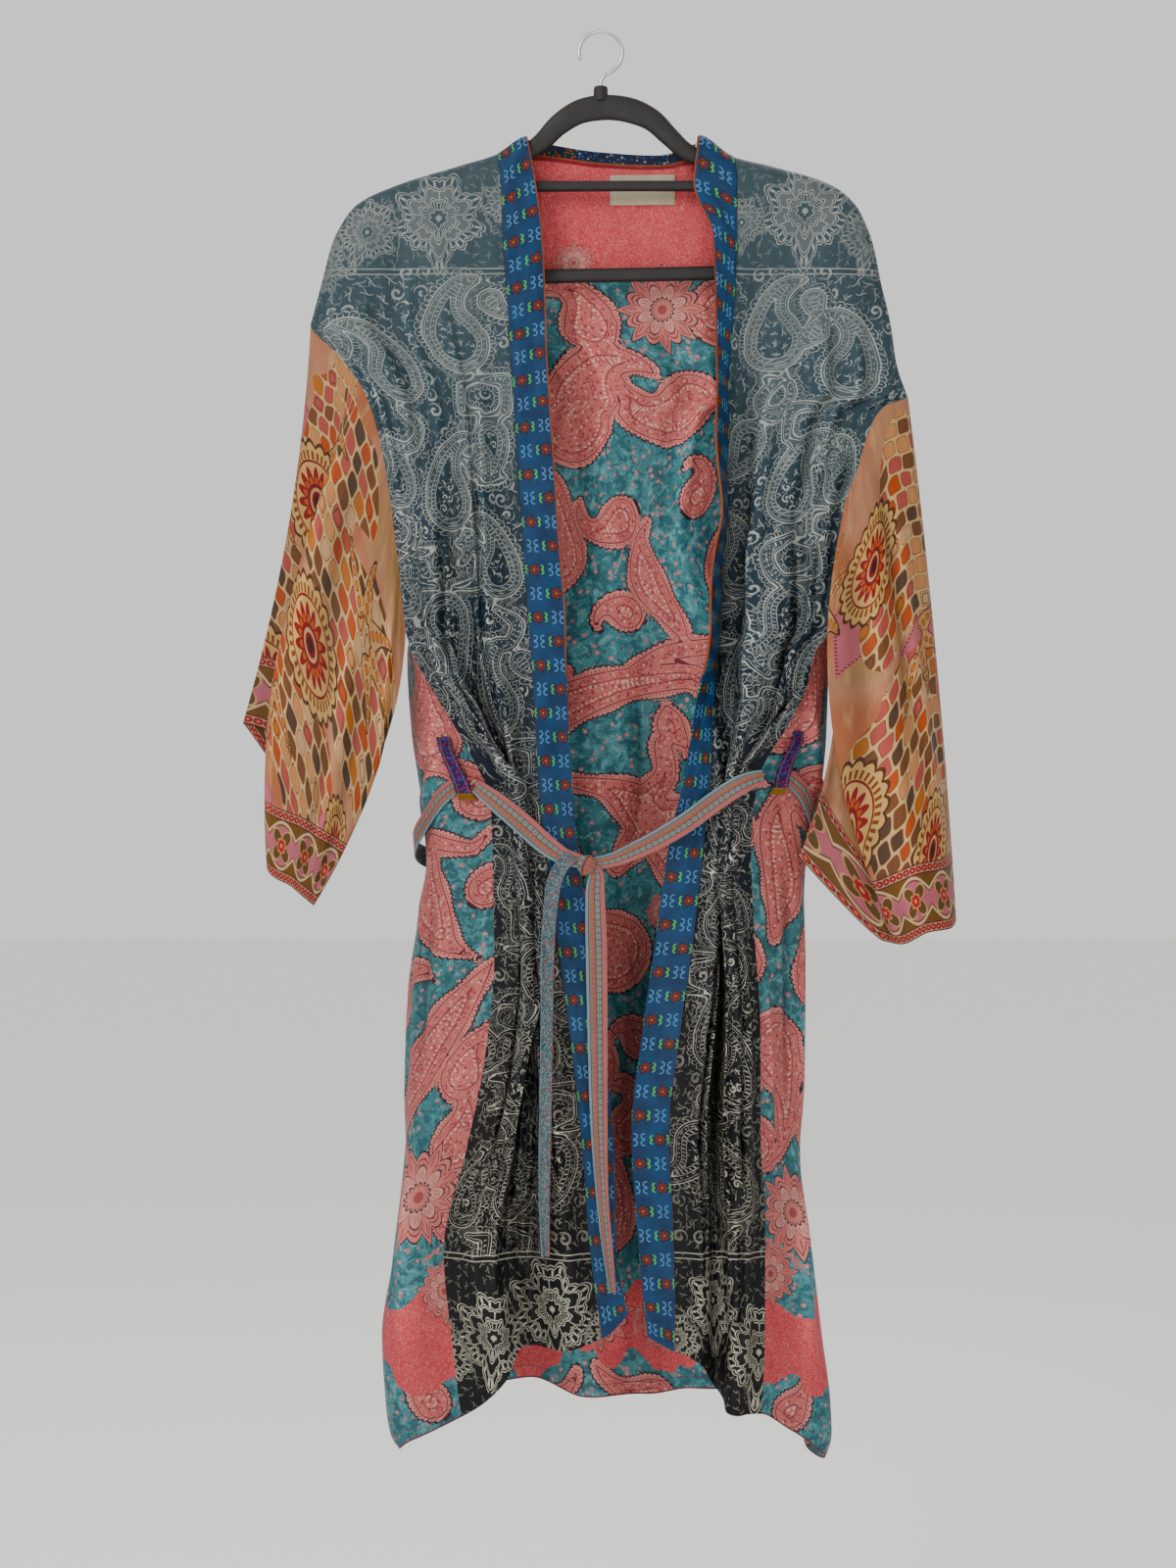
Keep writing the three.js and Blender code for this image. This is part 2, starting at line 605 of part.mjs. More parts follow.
// Shares of the armhole where its line turns sharply, the underarm first
const leftTurns = [0.54];
const rightTurns = [0.54, 0.11, 0.88, 0.93];
const turnWidth = 0.06;
const underarmPush = 500; // how strongly the sleeve leaves the underarm sideways

// Sleeve: every point of the armhole runs to its point on the cuff, swung out by its bow on the way
function sleeve(sign, t, turns) {
  const ring = armhole(sign);
  const rows = 12;
  const lengths = ring.map((p, k) => p.distanceTo(ring[(k + 1) % ring.length]));
  const total = lengths.reduce((a, b) => a + b, 0);
  const cuff = Object.fromEntries(t.names.slice(1).map((name) => [name, aroundSleeve(t, name)]));
  let run = 0;
  const grid = ring.map((start, k) => {
    const share = run / total;
    run += lengths[k];
    const end = new THREE.Vector3(cuff.x(share), cuff.y(share), cuff.z(share));
    const bow = new THREE.Vector3(cuff.bowX(share), cuff.bowY(share), cuff.bowZ(share));
    const before = ring[(k + ring.length - 1) % ring.length];
    const along = ring[(k + 1) % ring.length].clone().sub(before).normalize();
    const near = turns.map((place) => Math.exp(-(((share - place) / turnWidth) ** 2)));
    const tight = Math.min(1, near.reduce((a, b) => a + b));
    const away = end.clone().sub(start).add(new THREE.Vector3(sign * underarmPush * near[0], 0, 0))
      .projectOnPlane(along).setLength(mix(sleeveGap, tightGap, tight));
    return spread(0, 1, rows).map((v) => start.clone().add(away).lerp(end, v)
      .addScaledVector(bow, 4 * v * (1 - v)));
  });
  return wall(grid, clothWall, { closed: true, flip: sign < 0 });
}

// Flat strip along a smooth line, its face to the viewer
function ribbon(points, widths, facing, steps, thickness) {
  const curve = new THREE.CatmullRomCurve3(points, false, "centripetal");
  const widthAt = pchip(points.map((_, k) => k / (points.length - 1)), widths);
  const grid = spread(-0.5, 0.5, 1).map((offset) => spread(0, 1, steps).map((t) => {
    const side = curve.getTangent(t).cross(facing).normalize();
    return curve.getPoint(t).addScaledVector(side, offset * widthAt(t));
  }));
  return wall(grid, thickness);
}

const toViewer = new THREE.Vector3(0, -1, 0);

function beltStretch(t, steps) {
  const points = t.rows.map((row) => new THREE.Vector3(row.x, row.y, row.z));
  return ribbon(points, column(t, "wide"), toViewer, steps, beltWall);
}

// Belt round the outside of the back, sagging between the loops
function beltBack() {
  const at = column(beltRound, "at");
  const zAt = pchip(at, column(beltRound, "z"));
  const outAt = pchip(at, column(beltRound, "out"));
  const bunched = 11; // its width inside the loops
  const grid = spread(-0.5, 0.5, 1).map((offset) => spread(at[0], at[at.length - 1], 48).map((u) => {
    const z = zAt(u) - offset * mix(beltWidth, bunched, smooth(285, 308, Math.abs(u)));
    const plain = sectionPoint(u, z, false);
    return new THREE.Vector3(plain.x - plain.ty * outAt(u), plain.y + plain.tx * outAt(u), z);
  }));
  return wall(grid, beltWall, { flip: true });
}

// Belt loop: a strap sewn at both ends and standing off the cloth between them
function beltLoop(at, top, bottom) {
  const wide = 11;
  const sewn = 1.8; // from the cloth's middle to the strap's at its ends
  const stands = 6.4; // and how much further out it stands between them
  const grid = spread(-0.5, 0.5, 1).map((offset) => spread(0, 1, 8).map((t) => {
    const lift = sewn + stands * smooth(0, 0.2, t) * (1 - smooth(0.88, 1, t));
    return bodyPoint(at + offset * wide, mix(top, bottom, t), false, lift);
  }));
  return wall(grid, 1);
}

// The knot where the two ends of the belt cross
function beltKnot() {
  return new THREE.SphereGeometry(1, 12, 8).scale(8, 5, 8.5).rotateY(0.35).translate(-12, -58, -720);
}

// Elliptic ring across a line in the plane of the hanger
function hangerRing(point, tangent, halfHeight, halfDepth, sides = 10) {
  const up = new THREE.Vector3(-tangent.z, 0, tangent.x);
  const angles = spread(0, 2 * Math.PI, sides).slice(0, sides);
  return angles.map((angle) => point.clone()
    .addScaledVector(up, Math.cos(angle) * halfHeight)
    .add(new THREE.Vector3(0, -Math.sin(angle) * halfDepth, 0)));
}

function hangerSweep(rows, steps) {
  const middle = rows.map((row) => new THREE.Vector3(row.x, 0, row.z));
  const curve = new THREE.CatmullRomCurve3(middle, false, "centripetal");
  const shares = rows.map((_, k) => k / (rows.length - 1));
  const high = pchip(shares, rows.map((row) => row.high));
  return tube(spread(0, 1, steps).map((t) =>
    hangerRing(curve.getPoint(t), curve.getTangent(t), high(t) / 2, Math.min(high(t) / 2, hangerHalfDepth))));
}

// Arch and arms: middle line and height of the moulding
const hangerTop = table("x z high", [
  [-188, -148.4, 9], [-178, -141.9, 12], [-124, -125.4, 13], [-92, -114.9, 13], [-66, -105, 13],
  [-52, -95, 14], [-36, -79, 17], [-18, -68, 20], [0, -64.5, 22], [24, -66.5, 22], [44, -75, 19],
  [59, -89, 16], [72, -101, 14], [90, -110.4, 13], [112, -117.9, 13], [148, -126.4, 13], [200, -142.9, 12],
  [209, -149.4, 9],
]);
const upperBar = table("x z high", [[-150, -134, 9], [-60, -133, 9], [60, -132.5, 9], [172, -134, 9]]);
const lowerBar = table("x z high", [
  [-184, -147, 9], [-191, -170, 10], [-186, -196, 11], [-168, -209, 12], [-120, -211, 12],
  [0, -210, 12], [130, -207, 12], [186, -205, 12], [206, -192, 11], [212, -168, 10], [205, -148, 9],
]);

function hangerBody() {
  const nub = new THREE.CylinderGeometry(6, 6.5, 12, 16).rotateX(Math.PI / 2).translate(0, 0, -52.5);
  const pieces = [hangerSweep(hangerTop.rows, 34), hangerSweep(upperBar.rows, 4),
    hangerSweep(lowerBar.rows, 22), nub];
  return fromSolid(pieces.map(toSolid).reduce((sum, piece) => sum.add(piece)));
}

// Hook: a wire bent to an open circle over a straight shank
function hangerHook() {
  const wire = 1.8;
  const inner = 17;
  const radius = inner + wire;
  const centreZ = -inner;
  const angles = spread(-90, 200, 22).map((a) => THREE.MathUtils.degToRad(a));
  const bend = angles.map((a) => new THREE.Vector3(radius * Math.cos(a), 0, centreZ + radius * Math.sin(a)));
  const shank = [new THREE.Vector3(0, 0, -46.2), new THREE.Vector3(0, 0, centreZ - radius - 5)];
  bend[0].x += 1;
  const curve = new THREE.CatmullRomCurve3([...shank, ...bend.slice(1)], false, "centripetal");
  return tube(spread(0, 1, 30).map((t) => hangerRing(curve.getPoint(t), curve.getTangent(t), wire, wire, 8)));
}

const part = new THREE.Group();

function add(name, geometry, color, roughness, metalness = 0) {
  const material = new THREE.MeshStandardMaterial({ color, roughness, metalness });
  const mesh = new THREE.Mesh(geometry, material);
  mesh.name = name;
  part.add(mesh);
}

const silk = 0.55;
add("back", backPanel(), 0x4f8a8c, silk);
add("front_left", frontPanel(-1), 0x34505e, silk);
add("front_right", frontPanel(1), 0x34505e, silk);
add("sleeve_left", sleeve(-1, leftSleeve, leftTurns), 0xcf9d72, silk);
add("sleeve_right", sleeve(1, rightSleeve, rightTurns), 0xcf9d72, silk);
add("band_left", frontBand(-1), 0x0d4f8f, silk);
add("band_right", frontBand(1), 0x0d4f8f, silk);
add("band_neck", neckBand(), 0x1c2c4c, silk);
add("neck_label", neckLabel(), 0xc9b7a6, 0.8);
add("belt_left", beltStretch(beltLeft, 14), 0xd07868, silk);
add("belt_right", beltStretch(beltRight, 18), 0xd07868, silk);
add("belt_back", beltBack(), 0xd07868, silk);
add("belt_knot", beltKnot(), 0xd07868, silk);
add("belt_tail_long", beltStretch(tailLong, 18), 0xd07868, silk);
add("belt_tail_short", beltStretch(tailShort, 16), 0x86a5ad, silk);
add("belt_loop_left", beltLoop(-308, -611, -665), 0x4a1f63, silk);
add("belt_loop_right", beltLoop(308, -606, -660), 0x4a1f63, silk);
add("hanger_body", hangerBody(), 0x2e2926, 0.75);
add("hanger_hook", hangerHook(), 0xa8a8a8, 0.35, 1);

export default part;
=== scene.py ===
# A printed silk kimono jacket, hung open on a moulded plastic hanger with its own belt tied in front.
# Cloth is worked out in millimetres in the part's frame and put into the meshes in metres.
# Left and right are the viewer's. Cloth coordinate "at" runs round the body from the centre of the back.
from functools import partial
import bpy
import numpy as np
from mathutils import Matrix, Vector


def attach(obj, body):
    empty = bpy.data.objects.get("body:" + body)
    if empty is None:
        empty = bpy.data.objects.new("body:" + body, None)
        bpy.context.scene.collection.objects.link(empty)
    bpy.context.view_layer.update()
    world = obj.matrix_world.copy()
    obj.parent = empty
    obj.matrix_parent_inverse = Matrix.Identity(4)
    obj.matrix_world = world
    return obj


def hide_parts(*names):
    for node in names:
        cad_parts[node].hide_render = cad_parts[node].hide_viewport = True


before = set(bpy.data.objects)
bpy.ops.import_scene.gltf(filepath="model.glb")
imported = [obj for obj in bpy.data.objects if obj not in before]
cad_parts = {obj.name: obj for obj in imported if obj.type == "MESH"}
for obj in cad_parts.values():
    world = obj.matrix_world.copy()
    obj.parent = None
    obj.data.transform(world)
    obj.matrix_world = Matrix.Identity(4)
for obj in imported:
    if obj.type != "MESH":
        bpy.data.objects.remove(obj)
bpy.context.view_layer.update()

metre = 0.001


# Curves and tables

def table(columns, rows):
    data = np.array(rows, float)
    return {name: data[:, k] for k, name in enumerate(columns.split())}


def mix(a, b, t):
    return a + (b - a) * t


def smooth(a, b, value):
    t = np.clip((value - a) / (b - a), 0, 1)
    return t * t * (3 - 2 * t)


def hermite(t, width, a, b, slopeA, slopeB):
    return ((2 * t**3 - 3 * t**2 + 1) * a + (t**3 - 2 * t**2 + t) * width * slopeA
            + (3 * t**2 - 2 * t**3) * b + (t**3 - t**2) * width * slopeB)


def hermiteSlope(t, width, a, b, slopeA, slopeB):
    return ((6 * t**2 - 6 * t) * (a - b) / width + (3 * t**2 - 4 * t + 1) * slopeA
            + (3 * t**2 - 2 * t) * slopeB)


# Cubic through knots, each slope the weighted harmonic mean of the rises beside it, so it never overshoots
def smoothCurve(knots, values):
    x, y = np.asarray(knots, float), np.asarray(values, float)
    if x[0] > x[-1]:
        x, y = x[::-1], y[::-1]
    width = np.diff(x)
    rise = np.diff(y) / width
    a, b = 2 * width[1:] + width[:-1], width[1:] + 2 * width[:-1]
    agree = rise[:-1] * rise[1:] > 0
    before, after = np.where(agree, rise[:-1], 1), np.where(agree, rise[1:], 1)
    inner = np.where(agree, (a + b) / (a / before + b / after), 0)
    slope = np.concatenate([rise[:1], inner, rise[-1:]])

    def curve(at):
        at = np.clip(at, x[0], x[-1])
        k = np.clip(np.searchsorted(x, at) - 1, 0, len(x) - 2)
        return hermite((at - x[k]) / width[k], width[k], y[k], y[k + 1], slope[k], slope[k + 1])
    return curve


# Length run so far along a line's points, or along each line of a grid
def runLength(points, axis=0):
    steps = np.linalg.norm(np.diff(points, axis=axis), axis=-1)
    return np.concatenate([np.zeros_like(np.take(steps, [0], axis)), np.cumsum(steps, axis)], axis)


def byFirst(t):
    names = list(t)
    return {name: smoothCurve(t[names[0]], t[name]) for name in names[1:]}


# The body of the jacket: one surface, of which the panels, the bands and the belt loops are strips

body = {
    "creaseGain": 2.5, "beltGain": 1.6,
    "seamAt": 325, "bandAt": 565, "freeAt": 597,
    "ridgeRound": 13, "ridgeGap": 0.25, "armLevel": -420, "hemLevel": -1092,
    "left": byFirst(table("z freeX freeY bandX bandY seamX seamY", [
        [-88, -64, -10, -91, -10, -251, -10], [-133, -56, -12, -86, -12, -251, -10],
        [-180, -50, -18, -84, -18, -251, -12], [-252, -47, -25, -79, -26, -251, -12],
        [-285, -46, -28, -77, -28, -223, -15], [-315, -44, -30, -75, -30, -203, -20],
        [-360, -41, -32, -72, -32, -189, -26], [-450, -35, -34, -66, -34, -175, -29],
        [-520, -30, -35, -61, -36, -167, -29], [-535, -30, -35, -60, -37, -163, -29],
        [-562, -29, -36, -58, -38, -149, -30], [-600, -28, -37, -56, -40, -126, -35],
        [-632, -26, -38, -54, -42, -108, -40], [-664, -24, -38, -52, -42, -94, -40],
        [-735, -16, -39, -43, -42, -92, -38], [-800, -6, -41, -35, -43, -91, -36],
        [-885, 4, -43, -24, -46, -99, -36], [-960, 11, -46, -16, -48, -114, -38],
        [-1050, 13, -47, -9, -48, -134, -40], [-1125, 28, -46, 1, -45, -127, -40],
        [-1245, 42, -45, 12, -45, -112, -40]])),
    "right": byFirst(table("z freeX freeY bandX bandY seamX seamY", [
        [-88, 85, -10, 112, -10, 266, -10], [-133, 80, -13, 117, -14, 266, -10],
        [-180, 96, -23, 117, -20, 266, -12], [-250, 98, -27, 113, -22, 266, -12],
        [-316, 98, -30, 109, -18, 266, -12], [-325, 98, -30, 109, -17, 245, -14],
        [-344, 98, -31, 109, -14, 232, -18], [-382, 100, -35, 108, -9, 220, -26],
        [-416, 102, -36, 109, -7, 208, -30], [-450, 97, -36, 105, -6, 204, -31],
        [-500, 92, -36, 103, -6, 200, -30], [-518, 92, -36, 102, -8, 198, -30],
        [-535, 91, -36, 100, -10, 185, -30], [-574, 83, -37, 97, -20, 174, -32],
        [-597, 79, -38, 95, -27, 162, -36], [-648, 70, -40, 93, -36, 134, -40],
        [-708, 57, -42, 87, -42, 128, -38], [-780, 47, -42, 79, -44, 131, -36],
        [-864, 35, -42, 67, -44, 136, -36], [-949, 26, -42, 58, -44, 136, -36],
        [-1020, 30, -42, 61, -44, 140, -36], [-1105, 38, -42, 63, -44, 140, -36],
        [-1245, 56, -42, 58, -44, 134, -38]])),
    "around": byFirst(table("z leftX rightX backY leftEdgeY rightEdgeY", [
        [-88, -251, 266, 12, 10, 10], [-180, -251, 266, 15, 10, 10], [-252, -251, 266, 20, 11, 11],
        [-330, -205, 245, 24, 17, 13], [-400, -186, 220, 27, 24, 22], [-455, -176, 206, 29, 25, 25],
        [-480, -172, 202, 30, 18, 17], [-496, -169, 200, 30, 2, 0], [-508, -167, 199, 31, -14, -15],
        [-518, -166, 198, 31, -26, -27], [-550, -166, 197, 33, -30, -30], [-609, -164, 196, 35, -35, -36],
        [-645, -160, 193, 37, -38, -38], [-676, -157, 188, 40, -40, -40], [-719, -154, 178, 43, -40, -40],
        [-761, -161, 174, 46, -38, -38], [-829, -166, 170, 51, -36, -36], [-948, -171, 168, 58, -38, -36],
        [-1067, -184, 182, 62, -40, -36], [-1130, -194, 190, 64, -40, -36],
        [-1190, -191, 198, 66, -40, -36], [-1215, -187, 199, 66, -40, -36],
        [-1245, -160, 189, 66, -40, -36]])),
    "shoulder": smoothCurve(
        [-251, -242, -233, -225, -212, -178, -124, -89, -64, -40, 60, 85, 113, 148, 201, 221, 230, 236,
         243, 251, 256, 266],
        [-252, -218, -184, -167, -150, -133, -116, -105, -90, -88, -88, -89, -107, -116, -133, -150, -167,
         -184, -218, -252, -286, -316]),
    "hem": smoothCurve(
        [-597, -565, -500, -440, -405, -365, -325, -290, -262, -235, -200, -160, -120, -70, -20, 40, 85,
         130, 165, 200, 240, 270, 300, 325, 370, 410, 450, 500, 545, 565, 597],
        [-1102, -1123, -1133, -1130, -1148, -1170, -1191, -1214, -1226, -1222, -1216, -1204, -1184, -1182,
         -1196, -1197, -1188, -1192, -1212, -1230, -1238, -1228, -1206, -1189, -1187, -1182, -1166, -1146,
         -1137, -1134, -1122]),
    "neck": byFirst(table("x seamZ topZ", [
        [-66, -106, -91], [-45, -107, -94], [0, -112, -100], [50, -114, -103], [88, -108, -92]])),
}

# Main folds: where each lies, as a share of its panel's cloth, and how far it stands out, by height
foldHeights = [-300, -520, -680, -900, -1180]
foldRows = {
    "left": [
        [0.3, 0.27, 0.26, 0.25, 0.26, 5, 8, 10, 9, 12, 0.12],
        [0.46, 0.44, 0.47, 0.57, 0.57, -6, -9, -13, -10, -12, 0.1],
        [0.72, 0.76, 0.72, 0.86, 0.84, 3, 7, 10, 7, 9, 0.1],
        [0.9, 0.93, 0.9, 0.72, 0.7, -2, -4, -5, -2, 0, 0.06]],
    "right": [
        [0.46, 0.6, 0.46, 0.22, 0.2, 6, 9, 12, 9, 9, 0.14],
        [0.88, 0.88, 0.74, 0.55, 0.52, -3, -5, -12, -10, -10, 0.1],
        [0.96, 0.96, 0.92, 0.82, 0.8, 0, 0, 5, 7, 8, 0.1],
        [0.22, 0.3, 0.24, 0.08, 0.08, -3, -5, -5, -2, -3, 0.06]],
    "back": [
        [0.05, 0.05, 0.06, 0.065, 0.07, 0, 0, 5, 4, 6, 0.03],
        [0.14, 0.14, 0.14, 0.15, 0.14, 2, 3, -3, -5, -7, 0.035],
        [0.22, 0.23, 0.225, 0.23, 0.22, 4, 6, 8, 8, 11, 0.04],
        [0.31, 0.31, 0.3, 0.31, 0.32, -4, -6, -8, -9, -11, 0.04],
        [0.39, 0.395, 0.38, 0.39, 0.4, 3, 7, 9, 9, 10, 0.04],
        [0.47, 0.48, 0.47, 0.475, 0.48, -3, -6, -8, -7, -12, 0.04],
        [0.55, 0.56, 0.56, 0.56, 0.55, 3, 6, 9, 10, 9, 0.045],
        [0.64, 0.65, 0.65, 0.64, 0.64, -3, -6, -9, -10, -10, 0.04],
        [0.73, 0.74, 0.73, 0.725, 0.73, 4, 7, 8, 9, 12, 0.045],
        [0.83, 0.83, 0.83, 0.82, 0.83, -2, -4, -5, -6, -8, 0.035],
        [0.93, 0.93, 0.92, 0.91, 0.915, 0, 2, 4, 5, 7, 0.035]],
}

# Creases: from one point of the cloth (at, z) to another, bowed sideways by bend in the
# middle, with their height and half width, all in millimetres
creaseRows = {
    "left": [
        [-540, -250, -500, -640, -14, 2.2, 9], [-505, -200, -470, -520, 10, -2.0, 8],
        [-455, -180, -430, -430, -8, 2.4, 10], [-400, -190, -372, -420, 12, -2.6, 9],
        [-352, -215, -345, -470, -6, 2.4, 8], [-345, -480, -430, -640, 10, 3.0, 7],
        [-335, -520, -455, -700, -12, -2.6, 7], [-340, -560, -400, -690, 8, 2.4, 6],
        [-350, -600, -480, -690, 6, 1.8, 5], [-540, -640, -525, -860, 8, 2.0, 8],
        [-500, -700, -470, -900, -10, -2.4, 8], [-400, -690, -410, -880, 9, 2.4, 8],
        [-365, -680, -350, -900, -8, -2.2, 9], [-530, -840, -545, -1110, -10, 2.4, 9],
        [-455, -900, -440, -1120, 8, 2.2, 8], [-380, -880, -372, -1130, -6, 2.4, 10],
        [-345, -700, -338, -860, 6, 2.0, 6], [-420, -980, -455, -1110, 8, -2.2, 8],
        [-478, -690, -490, -1060, 6, 3.4, 7], [-435, -700, -430, -1090, -8, -3.6, 6],
        [-400, -720, -398, -1120, 7, 3.6, 7], [-366, -700, -372, -1060, -5, -3.4, 6],
        [-515, -710, -528, -1040, -6, -3.2, 6], [-480, -380, -440, -650, 12, 3.2, 7],
        [-420, -400, -395, -660, -9, -3.2, 6], [-368, -380, -362, -640, 8, 3.0, 6]],
    "right": [
        [540, -240, 520, -560, 12, -1.8, 8], [500, -200, 470, -560, -14, 2.2, 10],
        [440, -190, 425, -470, 10, -2.4, 9], [390, -230, 380, -480, -8, 2.4, 9],
        [350, -330, 345, -520, 6, -2.2, 8], [340, -480, 420, -640, -12, 3.0, 7],
        [335, -540, 440, -690, 8, -2.6, 7], [345, -600, 400, -700, 6, 2.2, 6],
        [540, -620, 545, -900, -8, 2.0, 8], [490, -660, 470, -900, 10, 2.2, 9],
        [430, -700, 440, -960, -12, -2.6, 9], [370, -700, 380, -980, 9, 2.4, 8],
        [345, -720, 350, -1010, -6, 2.0, 7], [520, -900, 510, -1110, 8, -2.2, 9],
        [450, -960, 430, -1150, -9, 2.4, 9], [390, -980, 375, -1160, 8, -2.4, 9],
        [478, -700, 488, -1060, -7, 3.4, 7], [450, -690, 452, -1040, 8, -3.6, 6],
        [410, -710, 408, -1120, -6, 3.6, 7], [376, -700, 372, -1060, 5, -3.2, 6],
        [512, -700, 520, -1050, 7, -3.2, 6], [490, -380, 440, -640, -12, 3.2, 7],
        [430, -400, 400, -660, 9, -3.2, 6], [372, -400, 366, -650, -8, 3.0, 6]],
    "back": [
        [-300, -250, -270, -460, 12, 2.4, 9], [-240, -200, -225, -520, -10, -2.2, 10],
        [-170, -180, -160, -480, 9, 2.0, 10], [-95, -190, -110, -430, -8, 1.8, 9],
        [-30, -170, -20, -420, 10, -1.8, 10], [45, -190, 60, -470, -9, 2.2, 9],
        [110, -200, 100, -500, 8, -2.0, 9], [185, -190, 200, -470, -12, 2.4, 10],
        [255, -240, 240, -500, 10, -2.2, 9], [300, -330, 270, -560, -9, 2.6, 8],
        [-315, -560, -240, -700, 10, 3.0, 7], [-310, -620, -215, -690, -8, -2.4, 6],
        [-300, -590, -170, -715, 14, 2.2, 7], [-120, -560, -90, -725, -6, 2.6, 8],
        [-50, -580, -55, -730, 5, -2.4, 7], [20, -560, 15, -725, -6, 2.6, 8],
        [80, -590, 95, -730, 7, -2.2, 7], [150, -570, 160, -720, -8, 2.6, 8],
        [310, -560, 230, -690, -10, 3.0, 7], [312, -620, 205, -700, 9, -2.6, 6],
        [300, -590, 180, -715, -13, 2.0, 7], [-318, -720, -300, -960, 6, 2.4, 6],
        [-285, -700, -275, -930, -8, -2.6, 7], [-215, -740, -225, -1010, 10, 2.6, 9],
        [-150, -750, -140, -980, -10, 2.4, 9], [-85, -745, -95, -1060, 9, -2.6, 9],
        [-20, -750, -10, -1010, -8, 2.6, 9], [50, -745, 40, -1050, 10, 2.4, 10],
        [115, -745, 125, -990, -9, -2.6, 9], [180, -740, 170, -1020, 8, 2.6, 9],
        [245, -720, 250, -1000, -8, 2.4, 8], [290, -690, 285, -940, 7, -2.6, 7],
        [316, -720, 305, -980, -5, 2.2, 6], [-270, -960, -290, -1170, 8, 3.0, 8],
        [-205, -1010, -190, -1190, -8, -2.6, 9], [-130, -990, -150, -1170, 7, 2.6, 9],
        [30, -1040, 10, -1170, -7, -2.4, 9], [140, -1010, 160, -1190, 8, 2.6, 9],
        [265, -990, 280, -1180, -8, 3.0, 8]],
}


def foldCurves(rows):
    return [{
        "place": smoothCurve(foldHeights, row[:5]),
        "deep": smoothCurve([-130, -220] + foldHeights, [0, row[5] / 2] + row[5:10]),
        "wide": row[10],
    } for row in rows]


foldSets = {name: foldCurves(rows) for name, rows in foldRows.items()}


# Sum of bells across the cloth, exp(-((share - place) / wide)^2), each as high as its fold is there
def foldDepth(folds, share, z):
    return sum(f["deep"](z) * np.exp(-((share - f["place"](z)) / f["wide"])**2) for f in folds)


# Sum of bells across bent lines: t runs along the line, off is the distance from it less 4 t (1 - t) bend,
# and the height fades at both ends
def creaseDepth(rows, across, down):
    total = np.zeros_like(across, dtype=float)
    for a0, z0, a1, z1, bend, deep, wide in rows:
        length = np.hypot(a1 - a0, z1 - z0)
        ax, az = (a1 - a0) / length, (z1 - z0) / length
        t = ((across - a0) * ax + (down - z0) * az) / length
        off = ((across - a0) * az - (down - z0) * ax) - 4 * t * (1 - t) * bend
        total += deep * smooth(0, 0.35, t) * smooth(1, 0.65, t) * np.exp(-(off / wide)**2)
    return total


def joined(z):
    return smooth(-520, -575, z)


# Control points (cloth coordinate, x, y) of the section at height z on one side, front and back
def sideKnots(side, z):
    own, around = body[side], body["around"]
    wrap = smooth(-440, -540, z)
    leftX, rightX, backY = around["leftX"](z), around["rightX"](z), around["backY"](z)
    seamSum = body["left"]["seamX"](z) + body["right"]["seamX"](z)
    centreX = mix(seamSum, leftX + rightX, wrap) / 2
    seamX, seamY = own["seamX"](z), own["seamY"](z)
    bandX, bandY = own["bandX"](z), own["bandY"](z)
    sideX = leftX if side == "left" else rightX
    edgeY = mix(around[side + "EdgeY"](z), seamY, smooth(-510, -524, z))
    sideY = mix(edgeY, 8, wrap)
    front = [(597, own["freeX"](z), own["freeY"](z)), (565, bandX, bandY),
             (445, (bandX + seamX) / 2, (bandY + seamY) / 2 - 3), (325, seamX, seamY)]
    back = [(325, seamX, edgeY)]
    for at, share, x, y in [
            (288, 0.11, mix(seamX, sideX, 0.62), mix(edgeY, sideY, 0.42)), (245, 0.25, sideX, sideY),
            (195, 0.4, sideX * 0.93, backY * 0.82), (100, 0.7, mix(sideX, centreX, 0.52), backY)]:
        flatY = mix(edgeY, backY, min(1, share * 2.2))
        back.append((at, mix(mix(seamX, centreX, share), x, wrap), mix(flatY, y, wrap)))
    sign = -1 if side == "left" else 1
    signed = lambda knots: [(sign * at, x, y) for at, x, y in knots]
    return signed(front), signed(back), (0, centreX, backY + 3)


def secant(a, b):
    return (b[1] - a[1]) / (b[0] - a[0]), (b[2] - a[2]) / (b[0] - a[0])


# Slope at the middle of three knots, by the parabola through them
def parabolaSlope(a, b, c):
    before, after = b[0] - a[0], c[0] - b[0]
    return tuple((s1 * after + s2 * before) / (before + after) for s1, s2 in zip(secant(a, b), secant(b, c)))


